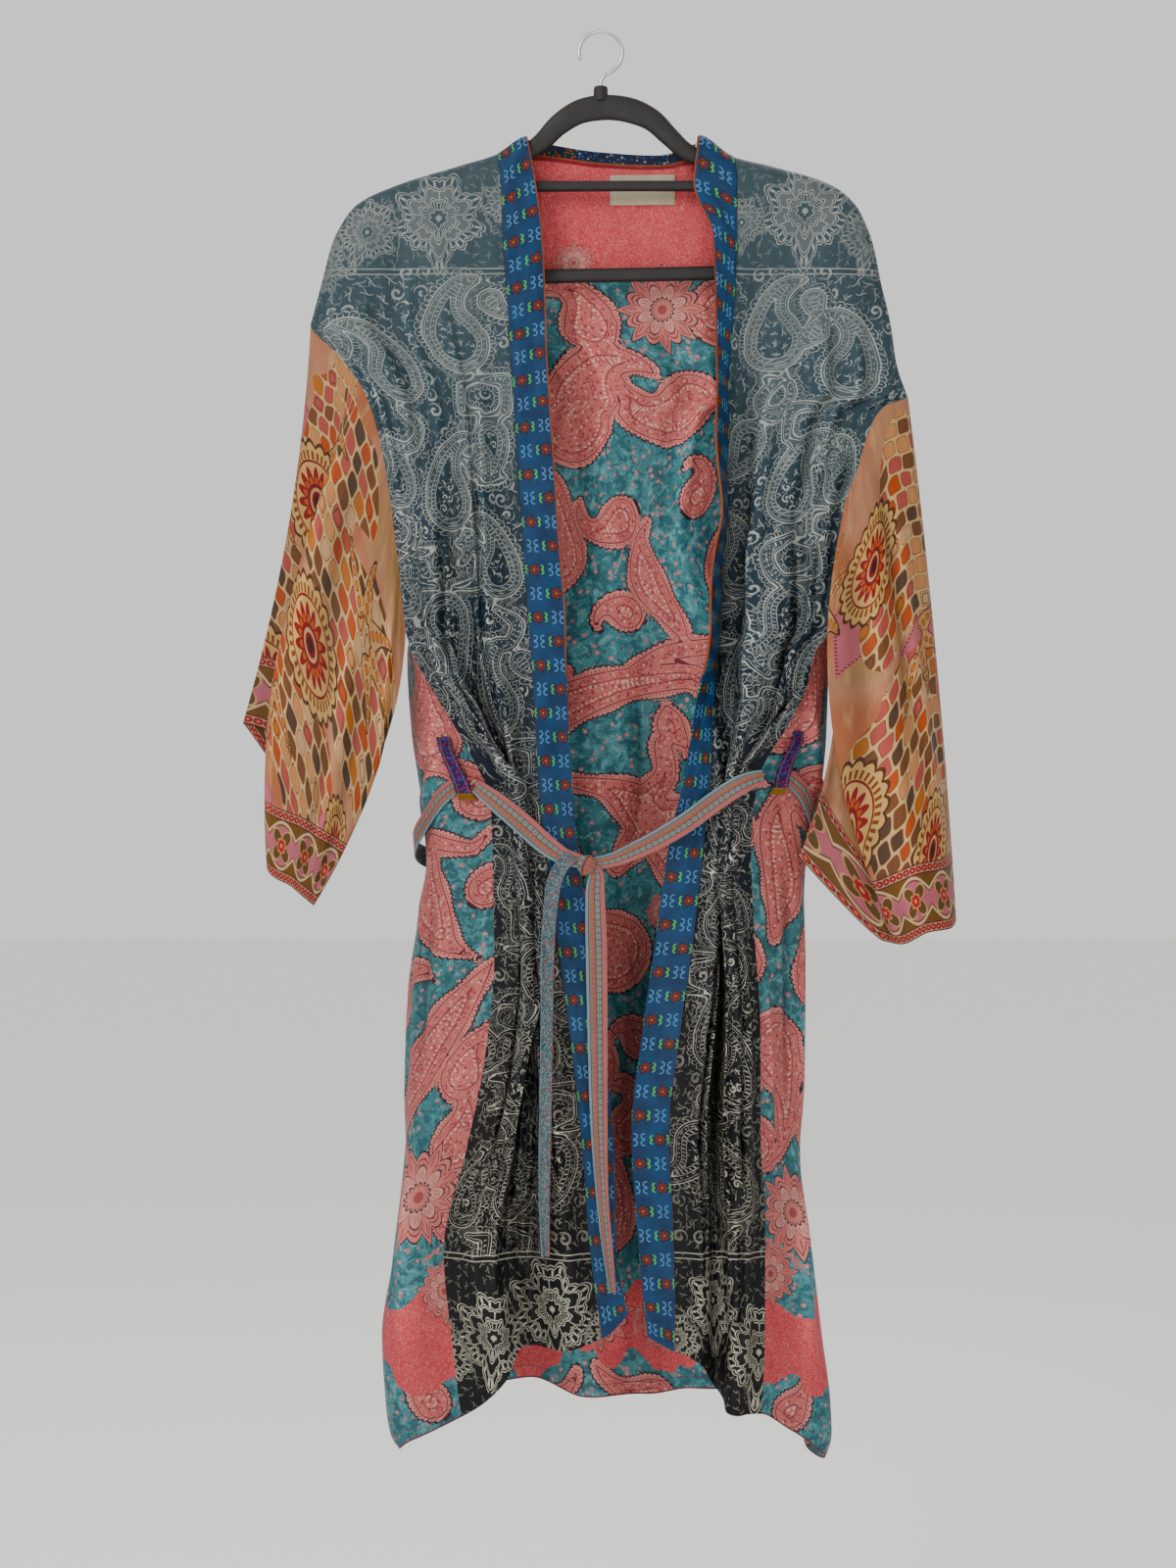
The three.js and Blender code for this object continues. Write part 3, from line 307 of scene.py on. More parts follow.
# Point and unit tangent of the plain section of one side, a cubic through its knots
def sideSection(side, at, z, onFront):
    front, back, centre = sideKnots(side, z)
    other = sideKnots("right" if side == "left" else "left", z)[1][-1]
    knots = front if onFront else back + [centre, other]
    last = len(knots) - 1
    slopes = [secant(knots[0], knots[1])]
    slopes += [parabolaSlope(*knots[i - 1:i + 2]) for i in range(1, last)]
    slopes += [secant(knots[last - 1], knots[last])]
    across = parabolaSlope(front[2], front[3], back[1])
    seam = 3 if onFront else 0
    slopes[seam] = tuple(mix(own, shared, joined(z)) for own, shared in zip(slopes[seam], across))
    x, y, tx, ty = (np.zeros_like(at, dtype=float) for _ in range(4))
    for i in range(last if onFront else last - 1):
        a, b = knots[i], knots[i + 1]
        inside = np.abs(at) >= abs(b[0]) if i == 0 else (np.abs(at) < abs(a[0])) & (np.abs(at) >= abs(b[0]))
        if i == (last if onFront else last - 1) - 1:
            inside = np.abs(at) < abs(a[0])
        width = b[0] - a[0]
        t = (at - a[0]) / width
        for k, (value, slope) in enumerate([(x, tx), (y, ty)]):
            ends = a[k + 1], b[k + 1], slopes[i][k], slopes[i + 1][k]
            value[:] = np.where(inside, hermite(t, width, *ends), value)
            slope[:] = np.where(inside, hermiteSlope(t, width, *ends), slope)
    length = np.hypot(tx, ty)
    return x, y, tx / length, ty / length


def sectionPoint(at, z, onFront):
    at, z = np.broadcast_arrays(np.asarray(at, float), np.asarray(z, float))
    left, right = (sideSection(side, at, z, onFront) for side in ["left", "right"])
    return [np.where(at < 0, a, b) for a, b in zip(left, right)]


# How far folds and creases stand out from the plain section, outwards positive. They fade at the side seams
# and bands, and the creases are shallow round the belt and beside the bands.
def clothRelief(at, z, onFront):
    at, z = np.broadcast_arrays(np.asarray(at, float), np.asarray(z, float))
    seamAt, bandAt = body["seamAt"], body["bandAt"]
    if onFront:
        share, distance = (np.abs(at) - seamAt) / (bandAt - seamAt), np.abs(at) - seamAt
        fold = np.where(at < 0, foldDepth(foldSets["left"], share, z), foldDepth(foldSets["right"], share, z))
        small = creaseDepth(creaseRows["left"] + creaseRows["right"], at, z)
        bandFade = 1 - smooth(bandAt - 12, bandAt + 8, np.abs(at))
        free = (1 - np.exp(-((z + 690) / 80)**2)) * smooth(525, 485, np.abs(at))
    else:
        share, distance = (at + seamAt) / (2 * seamAt), seamAt - np.abs(at)
        fold, small = foldDepth(foldSets["back"], share, z), creaseDepth(creaseRows["back"], at, z)
        bandFade, free = 1, 1 - np.exp(-((z + 700) / 80)**2)
    small = small * mix(body["beltGain"], body["creaseGain"], free)
    return (fold * mix(smooth(0, 30, distance), 1, 0.15 * joined(z)) * bandFade,
            small * smooth(0, 16, distance) * bandFade)


# What the shader paints shade and light by: the same relief, turned round on the inner sheet, where a fold is
# a
# hollow. The inner sheet is paler: painted light, a fixed lift that brightens the shaded inside of the cloth.
def paintedShadingField(at, z, onFront):
    fold, small = clothRelief(at, z, onFront)
    return np.stack([small + 0.5 * fold, 6 - small - 0.5 * fold])


# Point of the cloth: the section's point moved along its normal by folds, creases and lift. Over the
# shoulder, y shrinks as sqrt(1 - (1 - below / ridgeRound)^2).
def bodyPoint(at, z, onFront, lift=0.0):
    at, z = np.broadcast_arrays(np.asarray(at, float), np.asarray(z, float))
    x, y, tx, ty = sectionPoint(at, z, onFront)
    fold, small = clothRelief(at, z, onFront)
    out = fold + small + lift
    rise = (body["shoulder"](x + 1) - body["shoulder"](x - 1)) / 2
    below = (body["shoulder"](x) - z) / np.hypot(1, rise)
    turn = np.clip(below / body["ridgeRound"], 0, 1)
    rounding = np.sqrt(1 - (1 - turn)**2)
    yOut = (y + tx * out) * rounding
    apart = np.minimum(yOut, -body["ridgeGap"]) if onFront else np.maximum(yOut, body["ridgeGap"])
    return np.stack([x - ty * out * rounding, np.where(turn < 1, apart, yOut), z], -1)


# Height at which a line of a panel leaves the shoulder, found by stepping to it
def topOf(at, onFront):
    z = np.full_like(at, -120, dtype=float)
    for _ in range(10):
        z = body["shoulder"](sectionPoint(at, z, onFront)[0])
    return z


# Heights of each line from its top to the hem: rows crowd at the shoulder and are level below the armpit
def lineHeights(top, bottom, upper, middle, lower):
    shares = np.linspace(0, 1, upper)[:-1]**1.7
    arm, hem = body["armLevel"], body["hemLevel"]
    parts = [mix(top[:, None], arm, shares), np.tile(np.linspace(arm, hem, middle), (len(top), 1)),
             mix(hem, bottom[:, None], np.linspace(0, 1, lower)[1:])]
    return np.concatenate(parts, 1)


def stripGrid(at, onFront, rows, top=None, lift=0.0):
    top = topOf(at, onFront) if top is None else top
    z = lineHeights(top, body["hem"](at), *rows)
    return bodyPoint(at[:, None], z, onFront, lift)


# Meshes

# Closed wall of cloth: each grid point goes half the thickness out and half in along the normal, which is
# the cross product of the grid's two directions, and strips round the edges join the two sheets
def clothWall(grid, thick):
    columns, rows = grid.shape[:2]
    across, down = np.gradient(grid, axis=0), np.gradient(grid, axis=1)
    normal = np.cross(across, down)
    normal /= np.linalg.norm(normal, axis=-1, keepdims=True) + 1e-9
    thick = np.broadcast_to(np.asarray(thick, float), (columns, rows))[..., None]
    points = np.concatenate([(grid + normal * thick / 2).reshape(-1, 3),
                             (grid - normal * thick / 2).reshape(-1, 3)])
    k = np.arange(columns * rows).reshape(columns, rows)
    low = k + columns * rows
    quad = lambda a, b, c, d: np.stack([a, b, c, d], -1).reshape(-1, 4)
    outer = quad(k[:-1, :-1], k[1:, :-1], k[1:, 1:], k[:-1, 1:])
    inner = quad(low[:-1, :-1], low[:-1, 1:], low[1:, 1:], low[1:, :-1])
    rims = [quad(k[1:, 0], k[:-1, 0], low[:-1, 0], low[1:, 0]),
            quad(k[:-1, -1], k[1:, -1], low[1:, -1], low[:-1, -1]),
            quad(k[0, :-1], k[0, 1:], low[0, 1:], low[0, :-1]),
            quad(k[-1, 1:], k[-1, :-1], low[-1, :-1], low[-1, 1:])]
    faces = np.concatenate([outer, inner] + rims)
    finish = np.zeros(len(faces), int)
    finish[len(outer):len(outer) + len(inner)] = 1
    return points, faces, finish


# Puts a finished mesh in the scene, smooth but for edges that bend by more than crease degrees
def addPiece(name, mesh, nodes, crease=180):
    mesh.polygons.foreach_set("use_smooth", np.ones(len(mesh.polygons), bool))
    mesh.update()
    if crease < 180:
        mesh.set_sharp_from_angle(angle=np.radians(crease))
    piece = bpy.data.objects.new(name, mesh)
    bpy.context.collection.objects.link(piece)
    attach(piece, "root")
    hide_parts(*nodes)


# Puts points (mm) and faces in a mesh at the origin. uv and the fields are given once a grid point, and
# repeat for the inner sheet, but for relief, which is given for both.
def makePiece(name, shape, materials, nodes, uv, fields=None):
    points, faces, finish = shape
    mesh = bpy.data.meshes.new(name)
    mesh.from_pydata(points * metre, [], faces)
    corners = np.asarray(faces).reshape(-1)
    flat = np.asarray(uv, float).reshape(-1, 2) * metre
    layer = mesh.uv_layers.new(name="cloth")
    layer.data.foreach_set("uv", flat[corners % len(flat)].astype(np.float32).reshape(-1))
    for key, values in (fields or {}).items():
        values = np.asarray(values, float)
        vector = values.shape[-1] == 3
        flat = values.reshape(-1, 3) if vector else values.reshape(-1)
        flat = np.concatenate([flat] * (len(points) // len(flat)))
        data = mesh.attributes.new(key, "FLOAT_VECTOR" if vector else "FLOAT", "POINT").data
        data.foreach_set("vector" if vector else "value", flat.astype(np.float32).reshape(-1))
    for material in materials:
        mesh.materials.append(material)
    if len(materials) > 1:
        mesh.polygons.foreach_set("material_index", finish.astype(np.int32))
    addPiece(name, mesh, nodes, 50)


# Cloth measured flat: u adds up the distance from line to line, evened out down the cloth, v is the depth
# below the hook
def flatCloth(grid, zeroAt=0.0, even=45):
    steps = np.linalg.norm(np.diff(grid[..., :2], axis=0), axis=-1)
    pad = np.pad(steps, ((0, 0), (even, even)), mode="edge")
    total = np.cumsum(np.pad(pad, ((0, 0), (1, 0))), 1)
    steps = (total[:, 2 * even + 1:] - total[:, :-2 * even - 1]) / (2 * even + 1)
    u = np.concatenate([np.zeros((1, grid.shape[1])), np.cumsum(steps, 0)])
    place = zeroAt * (len(u) - 1)
    k = int(place)
    zero = mix(u[k], u[min(k + 1, len(u) - 1)], place - k)
    return np.stack([u - zero, -grid[..., 2]], -1)


# Printed motifs. Fields of distance (mm) are worked out on the cloth's grid and the shaders draw lines at
# chosen distances, so the print stays sharp between grid points.

# A boteh: a spine that starts in the bulb's middle and curls, its radius shrinking to the tip
def boteh(u, v, size, angle, curl, fat=0.28, steps=18):
    t = np.linspace(0, 1, steps)
    heading = np.radians(angle) + np.radians(curl) * t**1.6
    step = size * 0.82 / (steps - 1)
    x = u + np.concatenate([[0], np.cumsum(np.cos(heading[1:]) * step)])
    y = v - np.concatenate([[0], np.cumsum(np.sin(heading[1:]) * step)])
    radius = size * fat * (1 - t)**0.8 * (1 - 0.25 * np.sin(np.pi * t)) + 0.012 * size
    return np.stack([x, y, radius], -1)


# A stem: a smooth line through given points with a radius at each
def stem(points, steps=22):
    points = np.array(points, float)
    run = runLength(points[:, :2])
    s = np.linspace(0, run[-1], steps)
    return np.stack([smoothCurve(run, points[:, k])(s) for k in range(3)], -1)


# Distance to the nearest motif, length along its spine and signed distance across it. A motif is a chain of
# cones: d = |p - q| - r, with q the nearest point of the spine and r its radius there.
def chainField(flat, chains):
    best = np.full(flat.shape[:2], 400.0)
    along, across = np.zeros_like(best), np.zeros_like(best)
    for chain in chains:
        reach = chain[:, 2].max() + 45
        low, high = chain[:, :2].min(0) - reach, chain[:, :2].max(0) + reach
        near = ((flat > low) & (flat < high)).all(-1)
        if not near.any():
            continue
        p = flat[near]
        d, s, q = np.full(len(p), 400.0), np.zeros(len(p)), np.zeros(len(p))
        run = 0.0
        for a, b in zip(chain[:-1], chain[1:]):
            w = b[:2] - a[:2]
            length = np.hypot(*w) + 1e-9
            rel = p - a[:2]
            t = np.clip(rel @ w / length**2, 0, 1)
            off = rel - t[:, None] * w
            dist = np.hypot(off[:, 0], off[:, 1]) - mix(a[2], b[2], t)
            side = rel[:, 0] * w[1] - rel[:, 1] * w[0]
            closer = dist < d
            d = np.where(closer, dist, d)
            s = np.where(closer, run + (rel @ w) / length, s)
            q = np.where(closer, side / length, q)
            run += length
        wins = d < best[near]
        for target, value in [(best, d), (along, s), (across, q)]:
            old = target[near]
            target[near] = np.where(wins, value, old)
    return np.stack([best, along, across], -1)


# Place in the nearest flower's own turned frame, and the distance to its middle, as shares of its radius. The
# distance stays true between two flowers, where the place jumps from one frame to the other.
def flowerField(flat, flowers):
    best, out = np.full(flat.shape[:2], 9.0), np.full(flat.shape[:2] + (3,), 9.0)
    for u, v, radius, turn in flowers:
        dx, dy = (flat[..., 0] - u) / radius, (flat[..., 1] - v) / radius
        c, s = np.cos(np.radians(turn)), np.sin(np.radians(turn))
        far = np.hypot(dx, dy)
        wins = far < best
        best = np.where(wins, far, best)
        place = np.stack([dx * c - dy * s, dx * s + dy * c, far], -1)
        out = np.where(wins[..., None], place, out)
    return out


def paisleyFields(flat, motifs, flowers):
    return {"motif": chainField(flat, motifs), "flower": flowerField(flat, flowers)}


# The back's large motifs, listed: u from the middle of the back, v below the hook. A stem's row is its
# points with a radius at each, a paisley's is its place, size, angle, curl and fatness.
backStems = [
    # branches and leaves behind the opening
    [(-112, 612, 30), (-50, 584, 21), (10, 562, 15), (56, 556, 13), (88, 580, 11), (86, 612, 9),
     (62, 624, 5)],
    [(4, 560, 8), (46, 534, 9), (100, 530, 9), (170, 540, 7)],
    [(58, 530, 3), (46, 500, 13), (32, 470, 19), (28, 436, 7), (36, 420, 3)],
    [(92, 532, 3), (106, 500, 15), (122, 468, 19), (132, 430, 8)],
    [(-104, 560, 15), (-70, 548, 11), (-40, 552, 3)], [(58, 616, 5), (44, 600, 13), (40, 582, 3)],
    [(-60, 648, 5), (-14, 654, 10), (30, 682, 24), (50, 712, 16), (58, 734, 7)],
    [(22, 668, 15), (42, 640, 11), (38, 616, 9)], [(44, 680, 16), (80, 668, 9), (90, 648, 7)],
    [(26, 694, 18), (4, 722, 10)], [(-84, 700, 10), (-52, 712, 15), (-34, 730, 4)],
    # the stretch that shows at the left
    [(-226, 690, 4), (-222, 724, 22), (-236, 760, 26), (-262, 790, 12), (-286, 800, 5)],
    [(-228, 700, 12), (-264, 706, 10), (-280, 690, 6)], [(-222, 740, 16), (-196, 760, 12), (-190, 790, 6)],
    [(-300, 800, 5), (-272, 850, 20), (-246, 900, 24), (-230, 950, 10), (-250, 976, 6)],
    # the stretch that shows at the right
    [(236, 640, 4), (252, 690, 18), (248, 740, 24), (262, 780, 10)],
]
backRows = [
    # branches and leaves behind the opening
    (-52, 330, 130, 75, -120, 0.3), (-66, 452, 112, 84, 60, 0.25), (4, 420, 84, 215, -140, 0.24),
    (52, 322, 116, 200, -130, 0.26), (90, 400, 62, 60, 170, 0.27), (8, 500, 52, 150, 160, 0.3),
    (10, 800, 150, 150, -80, 0.22), (80, 776, 96, 60, -140, 0.28), (-66, 800, 92, 70, 110, 0.3),
    (78, 880, 120, 260, 120, 0.26), (-18, 904, 122, 200, -130, 0.27), (30, 960, 80, 60, 150, 0.26),
    (78, 984, 96, 80, 120, 0.28), (-72, 968, 108, 100, -120, 0.27), (6, 1040, 104, 60, 130, 0.27),
    (90, 1070, 92, 120, -130, 0.28), (-70, 1068, 96, 250, 120, 0.27), (40, 880, 54, 120, 160, 0.3),
    # the stretch that shows at the left
    (-198, 524, 96, 70, -120), (-226, 604, 132, 104, 80, 0.27), (-266, 660, 84, 60, -130),
    (-292, 900, 92, 90, 120), (-216, 1000, 84, 40, -160), (-304, 960, 104, 100, -110),
    (-188, 850, 108, 110, 120), (-176, 690, 108, 250, -120), (-168, 950, 112, 60, 130),
    (-324, 1020, 84, 70, -120), (-284, 740, 70, 120, 150, 0.28),
    # the stretch that shows at the right
    (206, 540, 104, 60, 110), (250, 592, 116, 120, -110), (216, 664, 106, 250, 120), (286, 690, 78, 80, 130),
    (212, 820, 104, 70, 130), (268, 880, 140, 250, 90, 0.26), (302, 800, 96, 90, -120),
    (226, 944, 96, 110, -140), (300, 960, 88, 60, 120), (180, 720, 100, 110, 120), (170, 880, 112, 80, -120),
    # the rest of the back
    (-140, 310, 126, 80, 110), (-206, 270, 104, 120, -120), (-230, 374, 108, 70, 120),
    (-164, 440, 112, 110, -120), (-124, 540, 84, 70, 120), (132, 310, 124, 100, -110),
    (200, 264, 100, 70, 120), (230, 364, 104, 110, -120), (176, 420, 112, 80, 120), (160, 500, 84, 120, -130),
    (216, 460, 80, 60, 120), (-130, 660, 116, 80, -120), (-130, 780, 108, 110, 120),
    (-116, 880, 112, 70, -120), (140, 620, 112, 110, 110), (128, 790, 110, 70, -120),
    (126, 920, 112, 110, 120), (-130, 1030, 108, 80, 120), (150, 1040, 108, 110, -120),
    (-220, 460, 80, 60, 120), (-16, 250, 84, 100, 120), (92, 240, 88, 70, -120), (-96, 244, 90, 110, 120),
    # leaves along the hem
    (-70, 1206, 76, 12, 60, 0.22), (48, 1200, 84, 172, -60, 0.22), (-210, 1212, 88, 8, 60, 0.22),
    (214, 1216, 86, 170, -60, 0.22), (-310, 1180, 70, 40, 90), (300, 1190, 66, 140, -90),
]
backMotifs = [stem(points) for points in backStems] + [boteh(*row) for row in backRows]
backFlowers = [
    (-280, 1006, 50, 10), (272, 1020, 44, 0), (-214, 1076, 30, 20), (306, 1070, 30, 0), (-324, 1084, 30, 0),
    (0, 1120, 38, 0), (-120, 1126, 36, 10), (110, 1122, 38, 25), (44, 236, 40, 0), (-30, 196, 20, 0),
    (128, 214, 30, 12), (-160, 190, 30, 5), (200, 1124, 34, 0), (-190, 1134, 32, 0), (60, 1136, 24, 0),
    (-40, 872, 30, 0), (56, 764, 20, 0),
]
# The fronts' motifs: place, size, angle, curl and fatness of each
frontRows = {
    "left": [
        (44, 272, 112, 70, 110, 0.3), (110, 300, 104, 110, -130, 0.28), (24, 356, 84, 250, 130, 0.27),
        (78, 408, 124, 80, 120, 0.26), (132, 396, 84, 100, -120, 0.27), (24, 470, 104, 100, -110, 0.27),
        (88, 512, 104, 250, 110, 0.3), (134, 492, 78, 70, 120, 0.27), (40, 584, 116, 70, 120, 0.28),
        (104, 606, 104, 110, -130, 0.27), (22, 676, 96, 260, -130, 0.27), (80, 700, 112, 80, 110, 0.3),
        (124, 742, 84, 100, -120, 0.27), (28, 776, 104, 110, -120, 0.27), (90, 812, 104, 250, 110, 0.3),
        (36, 876, 116, 70, 120, 0.27), (104, 906, 108, 110, -110, 0.28), (24, 968, 92, 260, 120, 0.27),
        (84, 996, 108, 80, -120, 0.3), (138, 1010, 84, 70, 120, 0.27), (156, 880, 84, 60, 120, 0.27)],
    "right": [
        (40, 270, 108, 110, -110, 0.3), (104, 296, 108, 70, 120, 0.28), (26, 356, 92, 250, -130, 0.27),
        (82, 402, 120, 100, -120, 0.26), (136, 392, 84, 70, 120, 0.27), (24, 466, 104, 80, 110, 0.27),
        (90, 504, 104, 260, -120, 0.3), (134, 560, 84, 110, -120, 0.27), (40, 576, 112, 110, -120, 0.28),
        (98, 620, 104, 70, 120, 0.27), (22, 668, 96, 250, 120, 0.27), (84, 710, 112, 100, -110, 0.3),
        (30, 768, 104, 70, 120, 0.27), (94, 806, 104, 260, -110, 0.3), (36, 868, 112, 110, -120, 0.27),
        (98, 906, 104, 70, 110, 0.28), (24, 958, 96, 250, -120, 0.27), (88, 996, 112, 100, 120, 0.3)],
}


# Each large motif has a small one that nestles in its curl and a scroll that runs out below it
def nest(u, v, size, angle, curl, fat):
    way = np.radians(angle + np.sign(curl) * 62)
    down = np.radians(angle + 180)
    x, y = u + 0.42 * size * np.cos(way), v - 0.42 * size * np.sin(way)
    foot = [(u + 0.3 * size * np.cos(down), v - 0.3 * size * np.sin(down), 0.03 * size),
            (u + 0.46 * size * np.cos(down - 0.5), v - 0.46 * size * np.sin(down - 0.5), 0.06 * size),
            (u + 0.62 * size * np.cos(down - 0.2), v - 0.62 * size * np.sin(down - 0.2), 0.05 * size),
            (u + 0.6 * size * np.cos(down + 0.2), v - 0.6 * size * np.sin(down + 0.2), 0.02 * size)]
    return [boteh(u, v, 0.78 * size, angle, curl, fat), boteh(x, y, 0.36 * size, angle + 170, -curl, 0.27,
            10), stem(foot, 10)]


frontMotifs = {side: [motif for row in rows for motif in nest(*row)] for side, rows in frontRows.items()}
# Palmettes over the fronts' shoulder line and above their hem
frontFlowers = {
    "left": [(52, 164, 42, 0), (112, 176, 30, 20), (-8, 150, 26, 0), (150, 206, 26, 40),
             (42, 1098, 44, 0), (110, 1120, 40, 10), (160, 1140, 30, 0), (-6, 1120, 24, 0)],
    "right": [(60, 158, 44, 0), (118, 180, 30, -15), (4, 168, 24, 0), (150, 210, 26, -30),
              (48, 1092, 40, 0), (108, 1136, 44, -8), (160, 1110, 28, 0), (2, 1124, 24, 0)],
}


def leaf(u, v, size, angle, curl=30):
    return boteh(u, v, size, angle, curl, 0.17, 10)


# The sleeves' print is laid out anew: leaves, rosettes (the smaller circles) and patches of tiles or plain
# pink (the larger ones), u round the sleeve from the underarm, v down it
def sprig(u, v, size, angle, count=5):
    return [leaf(u + 17 * np.cos(np.radians(angle + 52 * k)), v - 17 * np.sin(np.radians(angle + 52 * k)),
                 size, angle + 52 * k, 24) for k in range(count)]


sleeveRows = {
    "left": [(60, 96, 44, 20), (190, 60, 46, 160, 4), (300, 170, 46, 30, 4), (150, 250, 44, 200, 5),
             (420, 90, 46, 40), (520, 220, 46, 150), (40, 330, 46, 60, 4), (640, 120, 44, 20),
             (360, 330, 44, 190, 4)],
    "right": [(90, 110, 46, 30), (220, 200, 44, 150, 4), (330, 70, 46, 20), (450, 160, 46, 200),
              (560, 80, 44, 40), (620, 230, 46, 130), (400, 330, 46, 60, 4), (520, 330, 44, 170, 4),
              (150, 340, 44, 30)],
}
sleeveMotifs = {side: [one for row in rows for one in sprig(*row)] for side, rows in sleeveRows.items()}
sleeveFlowers = {
    "left": [(110, 180, 40, 0), (230, 130, 46, 20), (90, 400, 34, 0), (350, 80, 38, 0), (250, 300, 42, 10),
             (460, 200, 44, 0), (560, 90, 38, 0), (440, 360, 40, 0), (610, 320, 40, 0), (20, 230, 30, 0)],
    "right": [(140, 200, 42, 0), (260, 90, 38, 0), (320, 260, 44, 10), (420, 60, 36, 0), (500, 230, 44, 0),
              (600, 150, 36, 0), (640, 330, 40, 0), (60, 300, 36, 0), (240, 360, 38, 0)],
}
sleeveTiles = {
    "left": [(170, 70, 84, 20), (110, 260, 70, 0), (240, 200, 74, 45), (40, 120, 70, 0)],
    "right": [(150, 80, 80, 10), (260, 260, 78, 0), (210, 130, 62, 30), (40, 200, 74, 0)],
}
sleevePatches = {
    "left": [(60, 250, 56, 15), (200, 290, 52, -20), (150, 350, 40, 0), (260, 90, 46, 0)],
    "right": [(90, 170, 52, 10), (200, 210, 54, -15), (30, 320, 44, 0), (270, 120, 50, 0)],
}


def sleeveFields(side, flat):
    return {**paisleyFields(flat, sleeveMotifs[side], sleeveFlowers[side]),
            "tiles": flowerField(flat, sleeveTiles[side]), "patch": flowerField(flat, sleevePatches[side])}


# Materials

# sRGB hex to the linear colour that shaders use
def hexColour(code):
    c = np.array([int(code[k:k + 2], 16) for k in (1, 3, 5)]) / 255
    return (*np.where(c <= 0.04045, c / 12.92, ((c + 0.055) / 1.055)**2.4), 1.0)


# Short signs for the operations that come up most; times is a b + c, and near is |a - b| <= c
signs = {
    "*": "MULTIPLY", "+": "ADD", "-": "SUBTRACT", "/": "DIVIDE", "<": "LESS_THAN", ">": "GREATER_THAN",
    "near": "COMPARE", "abs": "ABSOLUTE", "sin": "SINE", "cos": "COSINE", "floor": "FLOOR",
    "mod": "FLOORED_MODULO", "max": "MAXIMUM", "times": "MULTIPLY_ADD", "power": "POWER",
}


# Adds a node with its settings, and links or sets its inputs in order (None leaves one as it is). Kind is a
# sign or a node's name, where the part after a dot is its operation. Settings with a capital are inputs. It
# gives back the output that out names.
def addNode(tree, kind, *inputs, out=0, named=None, **settings):
    kind, _, operation = ("Math." + signs[kind] if kind in signs else kind).partition(".")
    node = tree.nodes.new("ShaderNode" + kind)
    if operation:
        node.operation = operation
    values = [*enumerate(inputs), *(named or {}).items()]
    for key, value in settings.items():
        if key[0].isupper():
            values.append((key, value))
        else:
            setattr(node, key, value)
    for key, value in values:
        if isinstance(value, bpy.types.NodeSocket):
            tree.links.new(value, node.inputs[key])
        elif value is not None:
            node.inputs[key].default_value = value
    return node.outputs[out] if node.outputs else node


def newMaterial(name):
    material = bpy.data.materials.new(name)
    material.use_nodes = True
    material.node_tree.nodes.clear()
    return material, partial(addNode, material.node_tree)


# Lays colours over a ground, each where its mask is 1
def layered(add, ground, layers):
    for mask, colour in layers:
        colour = hexColour(colour) if isinstance(colour, str) else colour
        ground = hexColour(ground) if isinstance(ground, str) else ground
        ground = add("Mix", mask, named={6: ground, 7: colour}, out=2, data_type="RGBA")
    return ground


# Colours that follow one another down the cloth, by depth below the hook in mm
def downCloth(add, v, stops):
    low, high = stops[0][0], stops[-1][0]
    ramp = add("ValToRGB", add("MapRange", v, low, high, 0.0, 1.0))
    elements = ramp.node.color_ramp.elements
    for k, (place, colour) in enumerate(stops):
        element = elements[k] if k < 2 else elements.new(1.0)
        element.position = (place - low) / (high - low)
        element.color = hexColour(colour)
    return ramp


# The cloth's own coordinates in mm, its motif field (d, s, q) and its flower field (x, y, distance)
def clothInputs(add, fields=True):
    uv = add("VectorMath.SCALE", add("UVMap", uv_map="cloth"), named={3: 1000.0})
    u, v = (add("SeparateXYZ", uv, out=k) for k in (0, 1))
    if not fields:
        return uv, u, v
    motif = add("Attribute", attribute_name="motif", out=1)
    flower = add("Attribute", attribute_name="flower", out=1)
    parts = [add("SeparateXYZ", source, out=k) for source in (motif, flower) for k in range(3)]
    return (uv, u, v, *parts)


# Round dots spaced along s at distance at from an outline
def dotRow(add, s, d, at, spacing, radius):
    place = add("CombineXYZ", add("Math.PINGPONG", s, spacing / 2), add("-", d, at), 0.0)
    return add("<", add("VectorMath.LENGTH", place, out=1), radius)


# Polar coordinates of a place given by x and y
def polar(add, x, y):
    return add("VectorMath.LENGTH", add("CombineXYZ", x, y, 0.0), out=1), add("Math.ARCTAN2", y, x)


# A flower's petals: r < base + reach |cos(n a / 2)|. Gives r over that edge.
def petals(add, r, angle, count, base, reach):
    wave = add("abs", add("cos", add("*", angle, count / 2)))
    return add("/", r, add("times", wave, reach, base))


# Thin printed silk: plain weave with threads 0.3 mm apart, drawn 0.9 mm apart so that they show, soft
# crinkles tens of mm long, and a low sheen. The dyes soak in, so each colour comes out deeper and richer.
# The crinkles' noise also shifts the colour a little, and the folds get painted shade in their hollows.
silk = {"weave": 0.9, "crinkle": (14.0, 55.0), "crinkleDeep": 0.55, "roughness": 0.6, "sheen": 0.05,
        "deep": 0.34, "rich": 1.2, "paintedHollowShade": 0.3, "gloss": 0.18, "bump": 0.0024}


